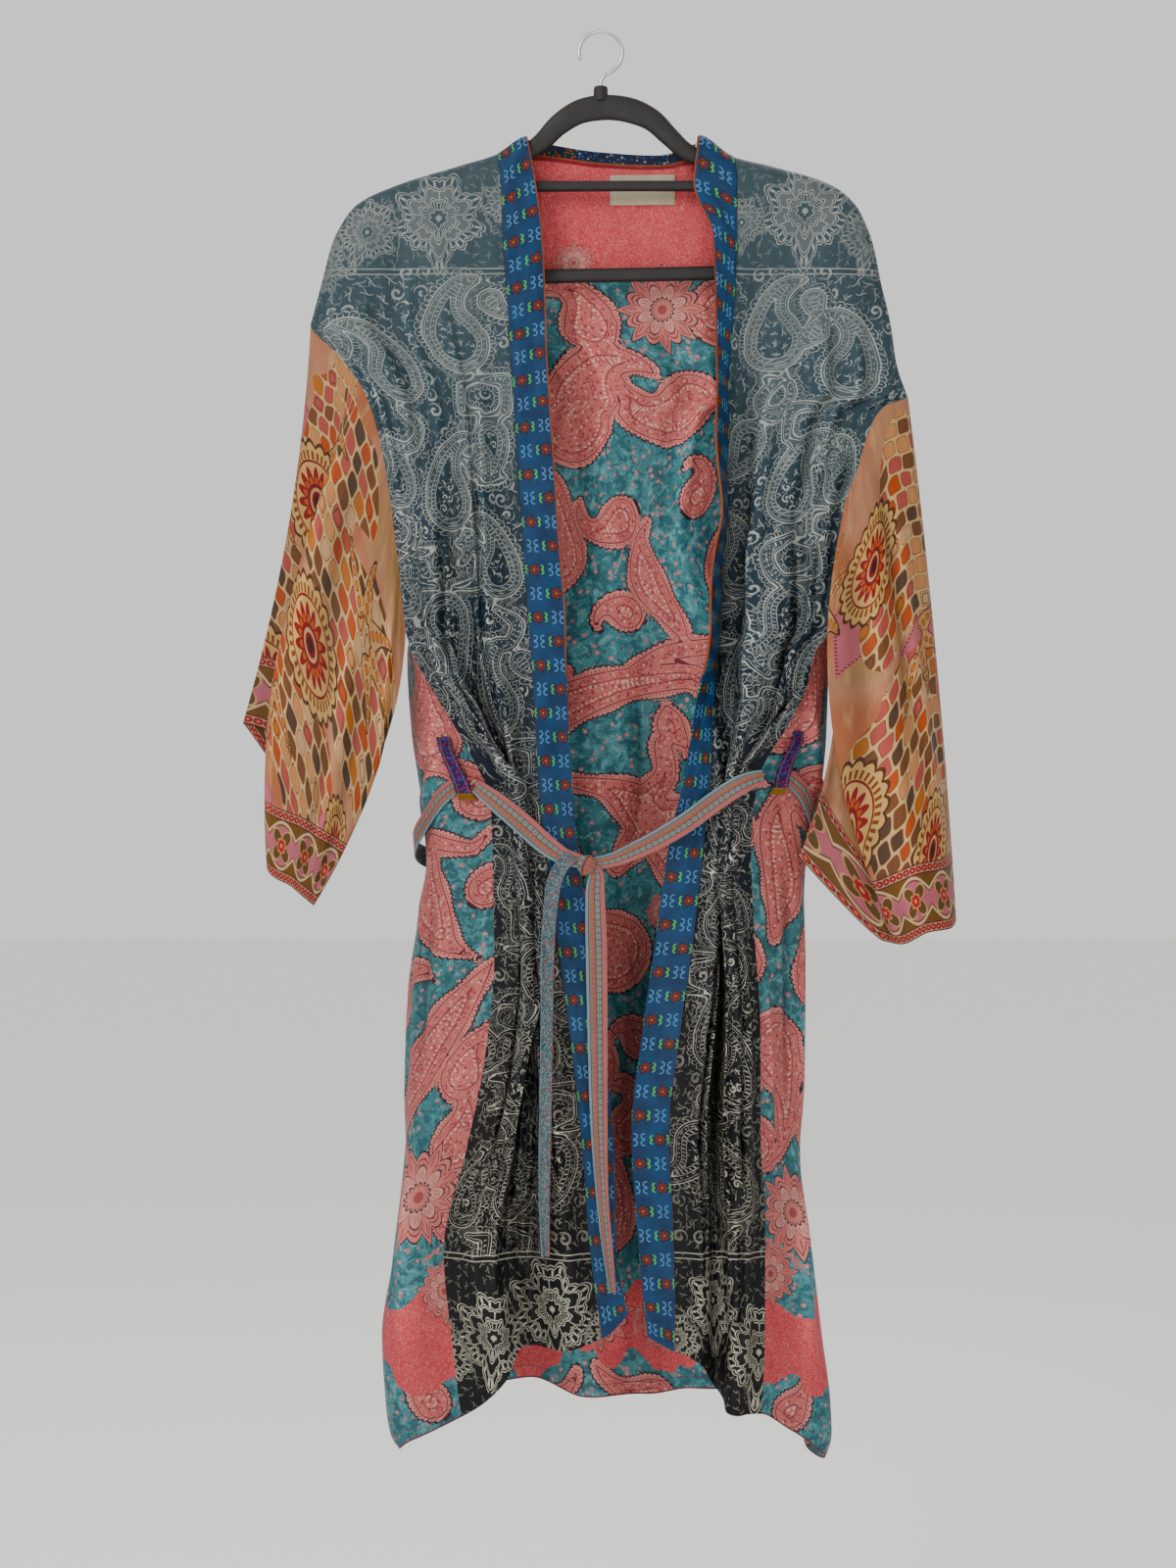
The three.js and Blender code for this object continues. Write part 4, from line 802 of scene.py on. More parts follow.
def silkShader(add, uv, colour, sheen=None, roughness=None, deep=None, rich=None):
    thread = add("VectorMath.SCALE", uv, named={3: 1 / silk["weave"] / 6.28})
    weft, warp = (add("TexWave", thread, 1.0, 0.3, bands_direction=way, out=1) for way in "XY")
    weave = add("+", weft, warp)
    crinkles = []
    for size in silk["crinkle"]:
        place = add("VectorMath.MULTIPLY", uv, (1 / size, 0.4 / size, 0.0))
        crinkles.append(add("TexNoise", place, Scale=1.0, Detail=2.0, Roughness=0.55))
    soft = add("times", crinkles[0], 0.4, crinkles[1])
    height = add("times", weave, 0.02, add("*", soft, silk["crinkleDeep"] * 5))
    bump = add("Bump", named={"Strength": 0.6, "Distance": silk["bump"], "Height": height})
    crinkleToneAndPaintedShading = add("MapRange", crinkles[0], 0.3, 0.7, 0.92, 1.08)
    # painted shade and light: the relief darkens the colour in the hollows of folds and creases and lightens
    # it on their crests; the hollow setting is the share of colour left in the deepest hollows
    relief = add("Attribute", attribute_name="relief", out=2)
    crinkleToneAndPaintedShading = add("*", crinkleToneAndPaintedShading, add("MapRange", relief, -11.0, 10.0, silk["paintedHollowShade"], 1.4))
    colour = add("HueSaturation", named={"Saturation": rich or silk["rich"], "Color": colour,
                 "Value": add("*", crinkleToneAndPaintedShading, deep or silk["deep"])})
    rough = roughness or silk["roughness"]
    gloss = add("MapRange", crinkles[1], 0.3, 0.7, rough - 0.07, rough + 0.08)
    shader = add("BsdfPrincipled", named={
        "Base Color": colour, "Roughness": gloss, "Normal": bump, "Specular IOR Level": silk["gloss"],
        "Sheen Weight": silk["sheen"] if sheen is None else sheen, "Sheen Roughness": 0.35})
    add("OutputMaterial", shader)


# Short printed strokes in the cells of a Voronoi net: each cell's own place, turned by its random angle,
# gives a stroke |y| < half inside |x| < long, or a curl where sin(a - 17 r) is high
def strokes(add, uv, size, half=0.05, long=0.36, curled=0.5):
    cell = add("VectorMath.SCALE", uv, named={3: 1 / size})
    net = add("TexVoronoi", cell, Scale=1.0, Randomness=0.8)
    local = add("VectorMath.SUBTRACT", cell, net.node.outputs["Position"])
    parts = [add("SeparateColor", net.node.outputs["Color"], out=k) for k in range(2)]
    turned = add("VectorRotate", local, named={"Angle": add("*", parts[0], 6.28)}, rotation_type="Z_AXIS")
    x, y = (add("SeparateXYZ", turned, out=k) for k in (0, 1))
    r, angle = polar(add, x, y)
    wavy = add("times", add("sin", add("*", x, 7.0)), 0.07, y)
    line = add("*", add("near", wavy, 0.0, half), add("<", add("abs", x), long))
    cross = add("*", add("near", add("+", x, add("*", y, 0.6)), 0.1, half), add("near", y, 0.13, 0.15))
    line = add("max", line, cross)
    spiral = add(">", add("sin", add("times", r, -17.0, angle)), 0.3)
    spiral = add("*", spiral, add("<", r, 0.42))
    choice = add("<", parts[1], curled)
    return add("Mix", choice, named={2: line, 3: spiral}, out=0, data_type="FLOAT")


# Most of several masks
def anyOf(add, *masks):
    first, *rest = masks
    for mask in rest:
        first = add("max", first, mask)
    return first


# Screen-printed silk of the back: salmon paisleys with dark scalloped outlines on mottled teal, plain coral
# with faint scribbles by the neck and near the hem. The mottling reads as wax-resist dye. Heights are depths
# below the hook, in mm.
backPrint = {"fullTo": 110.0, "slimFrom": 150.0, "scallop": 1.6, "lobe": 1.3, "plainTo": 207.0,
             "plainHem": (1106.0, 1166.0), "sway": (30.0, 110.0)}


def makePaisleySilk():
    material, add = newMaterial("screenPrintedPaisleySilk")
    uv, u, v, d, s, _, fx, fy, fr = clothInputs(add)
    hem = add("Attribute", attribute_name="hem", out=2)
    # the motifs behind the opening are drawn fuller than those at the sides
    fuller = add("MapRange", add("abs", u), backPrint["fullTo"], backPrint["slimFrom"], 2.6, -1.2)
    d = add("-", d, fuller)
    # small scallops on slow, leaf-like lobes; the lines inside a motif stay smooth
    scallop = add("abs", add("sin", add("*", s, 0.72)))
    lobe = add("times", add("sin", add("*", s, 0.13)), -backPrint["lobe"], 0.2)
    edge = add("-", add("+", d, lobe), add("*", scallop, backPrint["scallop"]))
    inside = add("<", edge, 0.0)
    coarse = add("TexNoise", uv, Scale=0.11, Detail=3.0, Roughness=0.65, Distortion=0.9)
    fine = add("TexNoise", uv, Scale=0.42, Detail=2.0, Roughness=0.6, Distortion=1.6)
    wide = add("TexNoise", uv, Scale=0.025, Detail=1.0)
    ground = layered(add, "#4d8a90", [
        (add("MapRange", wide, 0.4, 0.62, 0.0, 0.8), "#63a3a8"), (add(">", coarse, 0.54), "#3b6f78"),
        (add("<", coarse, 0.41), "#7fb9bb"), (add("near", fine, 0.5, 0.02), "#2f5660")])
    fleck = add("TexVoronoi", uv, Scale=0.12, Randomness=1.0)
    dotty = add("+", fleck, add("*", fine, 0.6))
    ground = layered(add, ground, [(add("<", dotty, 0.56), "#a98288"), (add("<", dotty, 0.46), "#dba4a2")])
    specks = strokes(add, uv, 8.0, 0.07, 0.2, 0.35)
    crumbs = add("TexVoronoi", uv, Scale=0.2, Randomness=0.7)
    hatch = add(">", add("sin", add("*", s, 2.2)), 0.35)
    pink = layered(add, "#dd7d7a", [
        (add("MapRange", d, -2.0, -7.0, 1.0, 0.0), "#efa29a"), (add(">", fine, 0.57), "#f2a199"),
        (add("*", add("<", d, -6.6), specks), "#a4525c"),
        (add("*", add("near", d, -2.6, 1.0), hatch), "#c65a60"), (add("near", d, -4.8, 0.45), "#7c333e"),
        (add("*", add("<", d, -6.4), add("<", crumbs, 0.24)), "#f6d0bc"),
        (add("*", add("<", d, -6.4), add("<", crumbs, 0.1)), "#6a2a34"),
        (add("near", d, -12.6, 0.4), "#93444c"), (dotRow(add, s, d, -15.0, 4.2, 0.9), "#f6d0bc"),
        (add("near", edge, -0.6, 0.95), "#32222a")])
    colour = layered(add, ground, [(inside, pink)])
    r, angle = polar(add, fx, fy)
    # petals that come to a point, one ring over another
    tip = add("-", 1.0, add("abs", add("sin", add("*", angle, 4.0))))
    back = add("abs", add("sin", add("*", angle, 4.0)))
    petal = add("/", r, add("max", add("times", tip, 0.46, 0.54), add("times", back, 0.42, 0.4)))
    inner = add("/", r, add("times", back, 0.26, 0.3))
    heart = petals(add, r, angle, 16, 0.2, 0.06)
    veined = add(">", add("sin", add("*", angle, 40.0)), 0.5)
    bloom = layered(add, "#e58f88", [
        (add("*", add("near", petal, 0.66, 0.09), veined), "#bd6468"),
        (add("near", petal, 0.82, 0.022), "#8c4a50"), (add("<", inner, 1.0), "#eaa9a0"),
        (add("*", add("near", inner, 0.72, 0.12), veined), "#c47470"),
        (add("near", inner, 1.0, 0.035), "#74414a"), (add("<", heart, 1.0), "#d98c84"),
        (add("near", heart, 1.0, 0.08), "#5e3840"), (add("<", r, 0.1), "#b05a5c"),
        (add(">", petal, 0.955), "#3a2a30")])
    whole = add("*", add("<", petal, 1.0), add("<", fr, 1.1))
    colour = layered(add, colour, [(whole, bloom)])
    # the edges of the plain stretches wander, more so near the hem
    sway = add("+", v, add("*", add("-", wide, 0.5), add("MapRange", v, 300.0, 900.0, *backPrint["sway"])))
    low, high = backPrint["plainHem"]
    plain = anyOf(add, add("<", sway, backPrint["plainTo"]),
                  add("*", add(">", sway, low), add("<", sway, high)))
    scribble = add("TexNoise", uv, Scale=0.3, Detail=2.0, Distortion=2.4)
    coral = layered(add, "#dc5a62", [(add("near", scribble, 0.5, 0.03), "#f79a96")])
    colour = layered(add, colour, [(add("*", plain, add("-", 1.0, whole)), coral)])
    colour = layered(add, colour, [
        (add("<", hem, 1.5), "#7a3a44"), (add("near", hem, 11.0, 0.35), "#6f4a52")])
    silkShader(add, uv, colour, deep=0.42, rich=1.1)
    return material


# Printed silk of the fronts: pale line paisley on a ground dyed from light teal at the shoulders to near
# black at the hem, the motifs half filled with pale ink, and palmettes past the border lines
frontPrint = {"shoulderLine": 208.0, "hemLine": 1050.0, "lineGap": 4.6, "lineHalf": 0.5}


def makeLineSilk():
    material, add = newMaterial("linePrintedDipDyedSilk")
    uv, _, v, d, s, _, fx, fy, fr = clothInputs(add)
    ground = downCloth(add, v, [
        (100, "#41585f"), (300, "#304a55"), (440, "#1b3340"), (580, "#0f2333"), (700, "#091420"),
        (860, "#05070c"), (1200, "#060608")])
    pale = downCloth(add, v, [
        (100, "#bfbcb4"), (300, "#bfc2ba"), (520, "#cfcfc2"), (800, "#cdc9b8"), (1200, "#d6cfb6")])
    tint = downCloth(add, v, [
        (100, "#8f918c"), (300, "#6c7a7c"), (520, "#3a4e57"), (700, "#1b2429"), (860, "#0e1012"),
        (1200, "#0e0e0d")])
    rim = add("*", add("abs", add("sin", add("*", s, 0.62))), 1.9)
    scalloped = add("-", d, rim)
    # lines print heavier on the light upper cloth than on the dark lower one
    heavy = add("MapRange", v, 430.0, 680.0, 1.1, 0.62)
    rule = lambda field, at, half: add("near", field, at, add("*", heavy, half))
    fringe = add("*", add(">", add("sin", add("*", s, 2.2)), 0.82),
                 add("*", add("near", d, 1.8, 1.2), add("MapRange", v, 430.0, 680.0, 1.0, 0.5)))
    clear = add(">", scalloped, 5.6)
    twigs = add("*", strokes(add, uv, 9.6, 0.034, 0.36, 0.0), 0.4)
    filler = anyOf(add, add("*", strokes(add, uv, 15.0, 0.03, 0.4, 0.35), 0.8), twigs)
    # fewer fillers down the cloth, where more of the dark ground shows
    sparse = add("*", clear, add("MapRange", v, 620.0, 900.0, 1.0, 0.45))
    outside = anyOf(add, rule(scalloped, 3.4, 0.32), fringe, add("*", sparse, filler))
    ribs = add("*", add(">", add("sin", add("*", s, 1.9)), 0.82), add("near", d, -8.4, 1.3))
    core = add("*", strokes(add, uv, 9.0, 0.04, 0.34, 0.2), add("<", d, -12.4))
    dots = add("*", dotRow(add, s, d, -4.3, 4.4, 0.6), heavy)
    lines = anyOf(add, rule(d, 0.0, 0.52), rule(d, -2.2, 0.24), dots, rule(d, -6.4, 0.26), ribs,
                  rule(d, -10.6, 0.26), core)
    inside = add("<", d, 0.6)
    filled = add("*", inside, add(">", d, -11.2))
    drawn = add("Mix", inside, named={2: outside, 3: lines}, out=0, data_type="FLOAT")
    # past the border lines only the palmettes stand on plain cloth
    past = anyOf(add, add("<", v, frontPrint["shoulderLine"]), add(">", v, frontPrint["hemLine"]))
    within = add("-", 1.0, past)
    drawn = anyOf(add, add("*", drawn, within), twigs)
    filled = add("*", filled, within)
    # a palmette's outline: its reach by angle from straight down, with scallops
    r, angle = polar(add, fy, add("abs", fx))
    reach = downCloth(add, angle, [(0.0, "#ffffff"), (0.35, "#c8c8c8"), (0.75, "#a4a4a4"), (1.15, "#e6e6e6"),
                                   (1.5, "#b0b0b0"), (1.9, "#dcdcdc"), (2.5, "#c0c0c0"), (3.15, "#e0e0e0")])
    points = add("-", 1.0, add("abs", add("sin", add("*", angle, 4.5))))
    small = add("abs", add("sin", add("*", angle, 18.0)))
    tips = add("times", points, 0.26, add("*", small, 0.05))
    edge = add("/", r, add("+", tips, add("power", reach, 0.6)))
    rays = add(">", add("sin", add("*", angle, 34.0)), 0.55)
    veins = add("<", add("abs", add("cos", add("*", angle, 4.5))), 0.09)
    rings = [add("near", edge, at, 0.014) for at in (0.975, 0.9, 0.72, 0.66, 0.44, 0.38, 0.2)]
    lace = anyOf(add, *rings, add("<", edge, 0.07), add("*", add("near", edge, 0.81, 0.06), rays),
                 add("*", add("near", edge, 0.55, 0.1), veins), add("*", add("near", edge, 0.29, 0.06), rays))
    blooming = add("*", add("<", edge, 1.0), add("<", fr, 1.2))
    drawn = add("Mix", blooming, named={2: drawn, 3: lace}, out=0, data_type="FLOAT")
    filled = add("Mix", blooming, named={2: filled, 3: add("near", edge, 0.55, 0.11)}, out=0,
                 data_type="FLOAT")
    for level in (frontPrint["shoulderLine"], frontPrint["hemLine"]):
        for k in (0, 1):
            border = add("near", v, level + k * frontPrint["lineGap"], frontPrint["lineHalf"])
            drawn = anyOf(add, drawn, add("*", border, 0.8))
    faded = add("TexNoise", uv, Scale=0.03, Detail=3.0)
    ink = add("MapRange", faded, 0.35, 0.65, 0.6, 1.0)
    tone = add("MapRange", faded, 0.35, 0.65, 0.3, 0.6)
    colour = add("Mix", add("*", filled, tone), named={6: ground, 7: tint}, out=2, data_type="RGBA")
    colour = add("Mix", add("*", drawn, ink), named={6: colour, 7: pale}, out=2, data_type="RGBA")
    silkShader(add, uv, colour, sheen=0.001, deep=0.5, rich=1.0)
    return material


# Printed silk of the bands: small flowers with a green scroll beside them, and pairs of pale scrolls, in a
# brick repeat on bright blue
bandPrint = {"columns": 17.0, "rows": 20.5, "pipingFrom": 30.9, "pipingTo": 470.0}


def makeBandSilk():
    material, add = newMaterial("blockPrintedBandSilk")
    uv, u, v = clothInputs(add, False)
    wide, high = bandPrint["columns"], bandPrint["rows"]
    x = add("-", add("mod", u, wide), wide / 2)
    y = add("-", add("mod", v, high), high / 2)
    square = add("+", add("floor", add("/", u, wide)), add("floor", add("/", v, high)))
    odd = add("mod", square, 2.0)
    even = add("-", 1.0, odd)
    r, angle = polar(add, x, y)
    petal = petals(add, r, angle, 5, 2.3, 3.7)
    sideX, sideY = add("abs", x), add("abs", y)
    # a scroll is two arcs, one over the other: the green ones bulge out from the flower, the pale ones in
    green, greenAt = polar(add, add("-", sideX, 6.3), add("-", sideY, 2.0))
    green = add("*", add("near", green, 1.6, 0.6), add(">", add("cos", greenAt), -0.2))
    pale, paleAt = polar(add, add("-", sideX, 3.8), add("-", sideY, 2.8))
    pale = add("*", add("near", pale, 2.2, 0.5), add("<", add("cos", paleAt), 0.45))
    tone = add("TexNoise", uv, Scale=0.05, Detail=2.0)
    ground = layered(add, "#0c4578", [(add("MapRange", tone, 0.35, 0.7, 0.0, 1.0), "#11609c")])
    colour = layered(add, ground, [
        (add("*", even, green), "#7fff6a"), (add("*", odd, pale), "#7fc4ff"),
        (add("*", even, add("<", petal, 1.0)), "#1c141c"), (add("*", even, add("<", petal, 0.8)), "#b03c2c"),
        (add("*", even, add("<", r, 1.3)), "#1c1720"), (add("*", even, add("<", r, 0.8)), "#f0d070")])
    piping = add("*", add(">", u, bandPrint["pipingFrom"]), add("<", v, bandPrint["pipingTo"]))
    stitch = add("*", add("near", u, 1.6, 0.3), add(">", add("mod", v, 3.0), 1.0))
    colour = layered(add, colour, [(stitch, "#0a3a70"), (piping, "#d8641e")])
    silkShader(add, uv, colour, sheen=0.02, deep=0.3, rich=1.05)
    return material


# Lining of the band behind the neck: dark print with a row of pale and coloured sprigs, piped in orange
def makeNeckSilk():
    material, add = newMaterial("darkPrintedLiningSilk")
    uv, u, v = clothInputs(add, False)
    cells = add("TexVoronoi", uv, Scale=0.3, Randomness=0.8)
    tint = add("SeparateColor", cells.node.outputs["Color"])
    spot = add("<", cells, 0.36)
    warm = add("*", spot, add("<", u, -22.0))
    colour = layered(add, "#16213f", [
        (spot, "#4a6fae"), (add("*", spot, add(">", tint, 0.62)), "#a9b7c9"), (warm, "#c9562c"),
        (add("*", warm, add(">", tint, 0.6)), "#4f9a48"), (add("near", v, 10.6, 0.7), "#d06a2e"),
        (add(">", v, 11.6), "#b8474e")])
    silkShader(add, uv, colour)
    return material


# Belt: silk cut to a strip. Across it lie a plain coral edge, small grey flowers, coral teeth and a narrow
# pale blue edge; the reverse is the teal side of the print.
beltPrint = {"coralTo": 4.6, "flowersTo": 9.6, "teethTo": 15.4, "flowerEvery": 5.6, "toothEvery": 4.2}


def makeBeltSilk(name, reverse):
    material, add = newMaterial(name)
    uv, u, v = clothInputs(add, False)
    blotch = add("TexNoise", uv, Scale=0.16, Detail=3.0, Distortion=1.0)
    fine = add("TexNoise", uv, Scale=0.5, Detail=2.0)
    if reverse:
        colour = layered(add, "#7fa6b2", [
            (add(">", blotch, 0.54), "#4a8490"), (add("<", blotch, 0.45), "#a07a74"),
            (add("near", fine, 0.5, 0.03), "#3c484e"), (add(">", fine, 0.6), "#b9c8cc")])
        silkShader(add, uv, colour, deep=0.36, rich=1.0)
        return material
    middle = (beltPrint["coralTo"] + beltPrint["flowersTo"]) / 2
    beat = beltPrint["flowerEvery"]
    r, angle = polar(add, add("-", u, middle), add("-", add("mod", v, beat), beat / 2))
    flower = petals(add, r, angle, 5, 1.2, 0.9)
    saw = add("*", add("Math.PINGPONG", v, beltPrint["toothEvery"] / 2), 2.6)
    tooth = add("<", add("-", u, beltPrint["flowersTo"]), saw)
    colour = layered(add, "#93b4c0", [
        (add("<", u, beltPrint["teethTo"]), "#a68c7c"),
        (add("*", tooth, add("<", u, beltPrint["teethTo"])), "#cf6a58"),
        (add("<", u, beltPrint["flowersTo"]), "#8e8078"),
        (add("*", add("<", flower, 1.0), add("<", u, beltPrint["flowersTo"])), "#9fc0bc"),
        (add("<", flower, 0.4), "#50606a"), (add("<", u, beltPrint["coralTo"]), "#d97a74"),
        (add("near", u, beltPrint["coralTo"], 0.3), "#8a4438"),
        (add("near", u, beltPrint["flowersTo"], 0.3), "#8a4a3c"),
        (add("near", u, beltPrint["teethTo"], 0.3), "#6a4438")])
    silkShader(add, uv, colour, deep=0.38, rich=1.0)
    return material


# Belt loops: dark purple print with bright specks and a fine gold line
def makeLoopSilk():
    material, add = newMaterial("speckledPurpleSilk")
    uv, u, v = clothInputs(add, False)
    cells = add("TexVoronoi", uv, Scale=0.45, Randomness=1.0)
    tint = add("SeparateColor", cells.node.outputs["Color"])
    spot = add("<", cells, 0.42)
    x = add("abs", add("-", u, 5.5))
    colour = layered(add, "#43195c", [
        (spot, "#7a3f9c"), (add("*", spot, add(">", tint, 0.62)), "#4a63c8"),
        (add("*", spot, add("<", tint, 0.3)), "#b8488a"), (add("near", x, 3.7, 0.3), "#a8863c"),
        (add(">", v, 48.0), "#b8862e")])
    silkShader(add, uv, colour)
    return material


# Label: cream cotton tape woven 0.5 mm thick, left blank, stitched at both ends
def makeLabelTape():
    material, add = newMaterial("wovenCottonTape")
    uv, u, v = clothInputs(add, False)
    ends = add("near", add("abs", add("-", u, 37.5)), 34.0, 0.35)
    stitch = add("*", ends, add(">", add("mod", v, 2.6), 0.9))
    colour = layered(add, "#cdbca4", [(stitch, "#9c8a70")])
    silkShader(add, uv, colour, sheen=0.05, roughness=0.8, deep=0.62, rich=1.05)
    return material


# Printed silk of the sleeves: rounded tiles, leaves with berries and rosettes on a peach ground with soft
# patches, and a pink border at the cuff between chains of red ovals
sleevePrint = {"border": 56.0, "chain": 9.0, "flowerEvery": 42.0, "flowerAt": 30.0, "ovalEvery": 7.6,
               "tile": 15.0, "shake": 9.0}


# A chain of ovals along the cuff at a height over it: rail lines on both sides, an oval in each link
def ovalChain(add, u, hem, at):
    x = add("-", add("mod", u, sleevePrint["ovalEvery"]), sleevePrint["ovalEvery"] / 2)
    y = add("-", hem, at)
    r, _ = polar(add, add("*", x, 0.75), y)
    band = add("near", y, 0.0, sleevePrint["chain"] / 2)
    rails = add("near", add("abs", y), sleevePrint["chain"] / 2 - 0.5, 0.55)
    return [(band, "#c9a08c"), (add("*", band, add("<", r, 2.7)), "#7a1e22"),
                  (add("*", band, add("<", r, 1.9)), "#d2443e"),
                  (add("*", band, add("<", r, 0.8)), "#e8a890"), (add("*", band, rails), "#6f1c20")]


def makeSleeveSilk():
    material, add = newMaterial("printedPeachSilk")
    uv, u, v, d, s, q, fx, fy, fr = clothInputs(add)
    patch, tile = (add("Attribute", attribute_name=name, out=1) for name in ("patch", "tiles"))
    px, py, pr = (add("SeparateXYZ", patch, out=k) for k in range(3))
    hem = add("Attribute", attribute_name="hem", out=2)
    wide = add("TexNoise", uv, Scale=0.011, Detail=1.0, Distortion=0.5)
    brush = add("TexNoise", add("VectorMath.MULTIPLY", uv, (0.08, 0.02, 0.0)),
                Scale=1.0, Detail=4.0)
    ground = layered(add, "#d29c82", [
        (add("MapRange", wide, 0.47, 0.6, 0.0, 0.9), "#c88468"),
        (add("MapRange", wide, 0.45, 0.34, 0.0, 0.9), "#b8946a"),
        (add("MapRange", brush, 0.55, 0.7, 0.0, 0.7), "#e6bf95")])
    # tiles: a grid shaken by noise, each tile its own colour inside a rounded square
    shake = add("TexNoise", uv, Scale=0.04, Detail=1.0, out=1)
    shake = add("VectorMath.SUBTRACT", shake, (0.5, 0.5, 0.5))
    shaken = add("VectorMath.ADD", uv, add("VectorMath.SCALE", shake, named={3: sleevePrint["shake"]}))
    grid = add("VectorMath.SCALE", shaken, named={3: 1 / sleevePrint["tile"]})
    gx, gy = (add("SeparateXYZ", grid, out=k) for k in (0, 1))
    gx = add("times", add("mod", add("floor", gy), 2.0), 0.3, gx)
    local = [add("-", add("Math.FRACT", value), 0.5) for value in (gx, gy)]
    square = add("power", add("+", *[add("power", add("abs", value), 4.0) for value in local]), 0.25)
    own = add("TexWhiteNoise", add("CombineXYZ", add("floor", gx), add("floor", gy), 0.0))
    shades = downCloth(add, own, [(0.0, "#c65a34"), (0.2, "#80573f"), (0.38, "#dfa47c"), (0.52, "#c4706a"),
                                  (0.66, "#5c4638"), (0.8, "#cc7d48"), (0.92, "#e2b894")])
    shades.node.color_ramp.interpolation = "CONSTANT"
    tiles = layered(add, "#e8c498", [
        (add("<", square, 0.44), "#8c5a3a"), (add("<", square, 0.4), shades),
        (add("*", add("near", square, 0.28, 0.03), add(">", own.node.outputs["Color"], 0.7)), "#5c4030")])
    far = add("SeparateXYZ", tile, out=2)
    rough = add("times", add("-", wide, 0.5), 1.4, far)
    tiled = add("<", rough, 0.95)
    boxed = add("max", add("abs", px), add("*", add("abs", py), 1.3))
    pinks = add("*", add("<", boxed, 0.7), add("<", pr, 1.2))
    seam = add("*", add("near", boxed, 0.66, 0.03), add("<", pr, 1.2))
    dashes = add("*", seam, add(">", add("sin", add("*", add("+", u, v), 2.0)), 0.2))
    colour = layered(add, ground, [(pinks, "#d4868c"), (dashes, "#8c4250"), (tiled, tiles)])
    # leaves: dark outline, peach inside and a row of berries
    berries = [(add("*", add("<", d, -0.8), dotRow(add, s, q, 0.0, 7.6, radius)), shade)
               for radius, shade in [(2.9, "#5a3420"), (2.2, "#d9803c")]]
    colour = layered(add, colour, [(add("<", d, 0.6), "#5a3420"), (add("<", d, -0.5), "#dfae84"), *berries])
    # rosettes: rays, a dotted ring, pointed petals and a dark red heart
    r, angle = polar(add, fx, fy)
    rim = add("abs", add("sin", add("*", angle, 10.0)))
    outer = add("-", r, add("*", rim, 0.1))
    inner = petals(add, r, angle, 14, 0.36, 0.22)
    ray = add(">", add("sin", add("*", angle, 36.0)), 0.0)
    rosette = layered(add, "#5c3a24", [
        (add("<", outer, 0.86), "#e6bc86"), (add("*", add("near", r, 0.76, 0.07), ray), "#8a5030"),
        (add("near", r, 0.66, 0.02), "#8c2a28"), (add("<", inner, 1.0), "#9c2c2e"),
        (add("<", inner, 0.72), "#d07a5c"), (add("<", r, 0.3), "#8a2428"),
        (add("near", r, 0.2, 0.03), "#e2b48a"), (add("<", r, 0.1), "#4a1c1e")])
    colour = layered(add, colour, [(add("*", add("<", outer, 0.93), add("<", fr, 1.1)), rosette)])
    # the border at the cuff
    beat = sleevePrint["flowerEvery"]
    x = add("-", add("mod", u, beat), beat / 2)
    y = add("-", hem, sleevePrint["flowerAt"])
    r, angle = polar(add, x, y)
    leaves = petals(add, r, add("+", angle, 0.78), 4, 4.0, 12.5)
    heart = petals(add, r, angle, 8, 4.4, 1.4)
    wave = add("*", add("abs", add("cos", add("*", x, np.pi / beat))), 12.0)
    lobes = add("+", add("abs", y), add("-", 14.0, wave))
    border = layered(add, "#d2848e", [
        (add("near", lobes, 19.6, 0.7), "#7a5a3c"), (add("near", lobes, 21.8, 1.2), "#e6d0a4"),
        (add(">", lobes, 23.4), "#7c5a34"), (add("<", leaves, 1.12), "#e0b48c"),
        (add("<", leaves, 0.98), "#6a5030"), (add("<", leaves, 0.5), "#86683c"),
        (add("<", heart, 1.3), "#e0a880"), (add("<", heart, 1.0), "#c8262c"), (add("<", r, 1.8), "#e8b890")])
    colour = layered(add, colour, [(add("<", hem, sleevePrint["border"]), border)])
    for at in (sleevePrint["chain"] / 2, sleevePrint["border"]):
        colour = layered(add, colour, ovalChain(add, u, hem, at))
    silkShader(add, uv, colour, deep=0.44, rich=1.2)
    return material


# Injection-moulded polystyrene hanger: near black, matt, with a fine spark-eroded grain and light rub marks
def makeHangerPlastic():
    material, add = newMaterial("mouldedPolystyrene")
    place = add("TexCoord", out=3)
    grain = add("TexNoise", place, Scale=1600.0, Detail=2.0)
    rubbed = add("TexNoise", place, Scale=60.0, Detail=5.0)
    rub = add("MapRange", rubbed, 0.62, 0.75, 0.0, 0.35)
    colour = layered(add, "#14100e", [(rub, "#33291f")])
    rough = add("MapRange", rubbed, 0.3, 0.8, 0.58, 0.75)
    bump = add("Bump", named={"Strength": 0.25, "Distance": 0.0004, "Height": grain})
    shader = add("BsdfPrincipled", named={"Base Color": colour, "Roughness": rough, "Normal": bump,
                                          "IOR": 1.59, "Specular IOR Level": 0.3})
    add("OutputMaterial", shader)
    return material


# Drawn steel wire, zinc plated: bright, brushed lengthwise by the die
def makeHookSteel():
    material, add = newMaterial("zincPlatedSteelWire")
    place = add("TexCoord", out=3)
    drawn = add("TexNoise", add("VectorMath.MULTIPLY", place, (2500.0, 2500.0, 120.0)),
                Scale=1.0, Detail=2.0)
    rough = add("MapRange", drawn, 0.3, 0.7, 0.22, 0.4)
    bump = add("Bump", named={"Strength": 0.15, "Distance": 0.0002, "Height": drawn})
    shader = add("BsdfPrincipled", named={"Base Color": hexColour("#b9bbbf"), "Roughness": rough,
                 "Metallic": 1.0, "Normal": bump})
    add("OutputMaterial", shader)
    return material


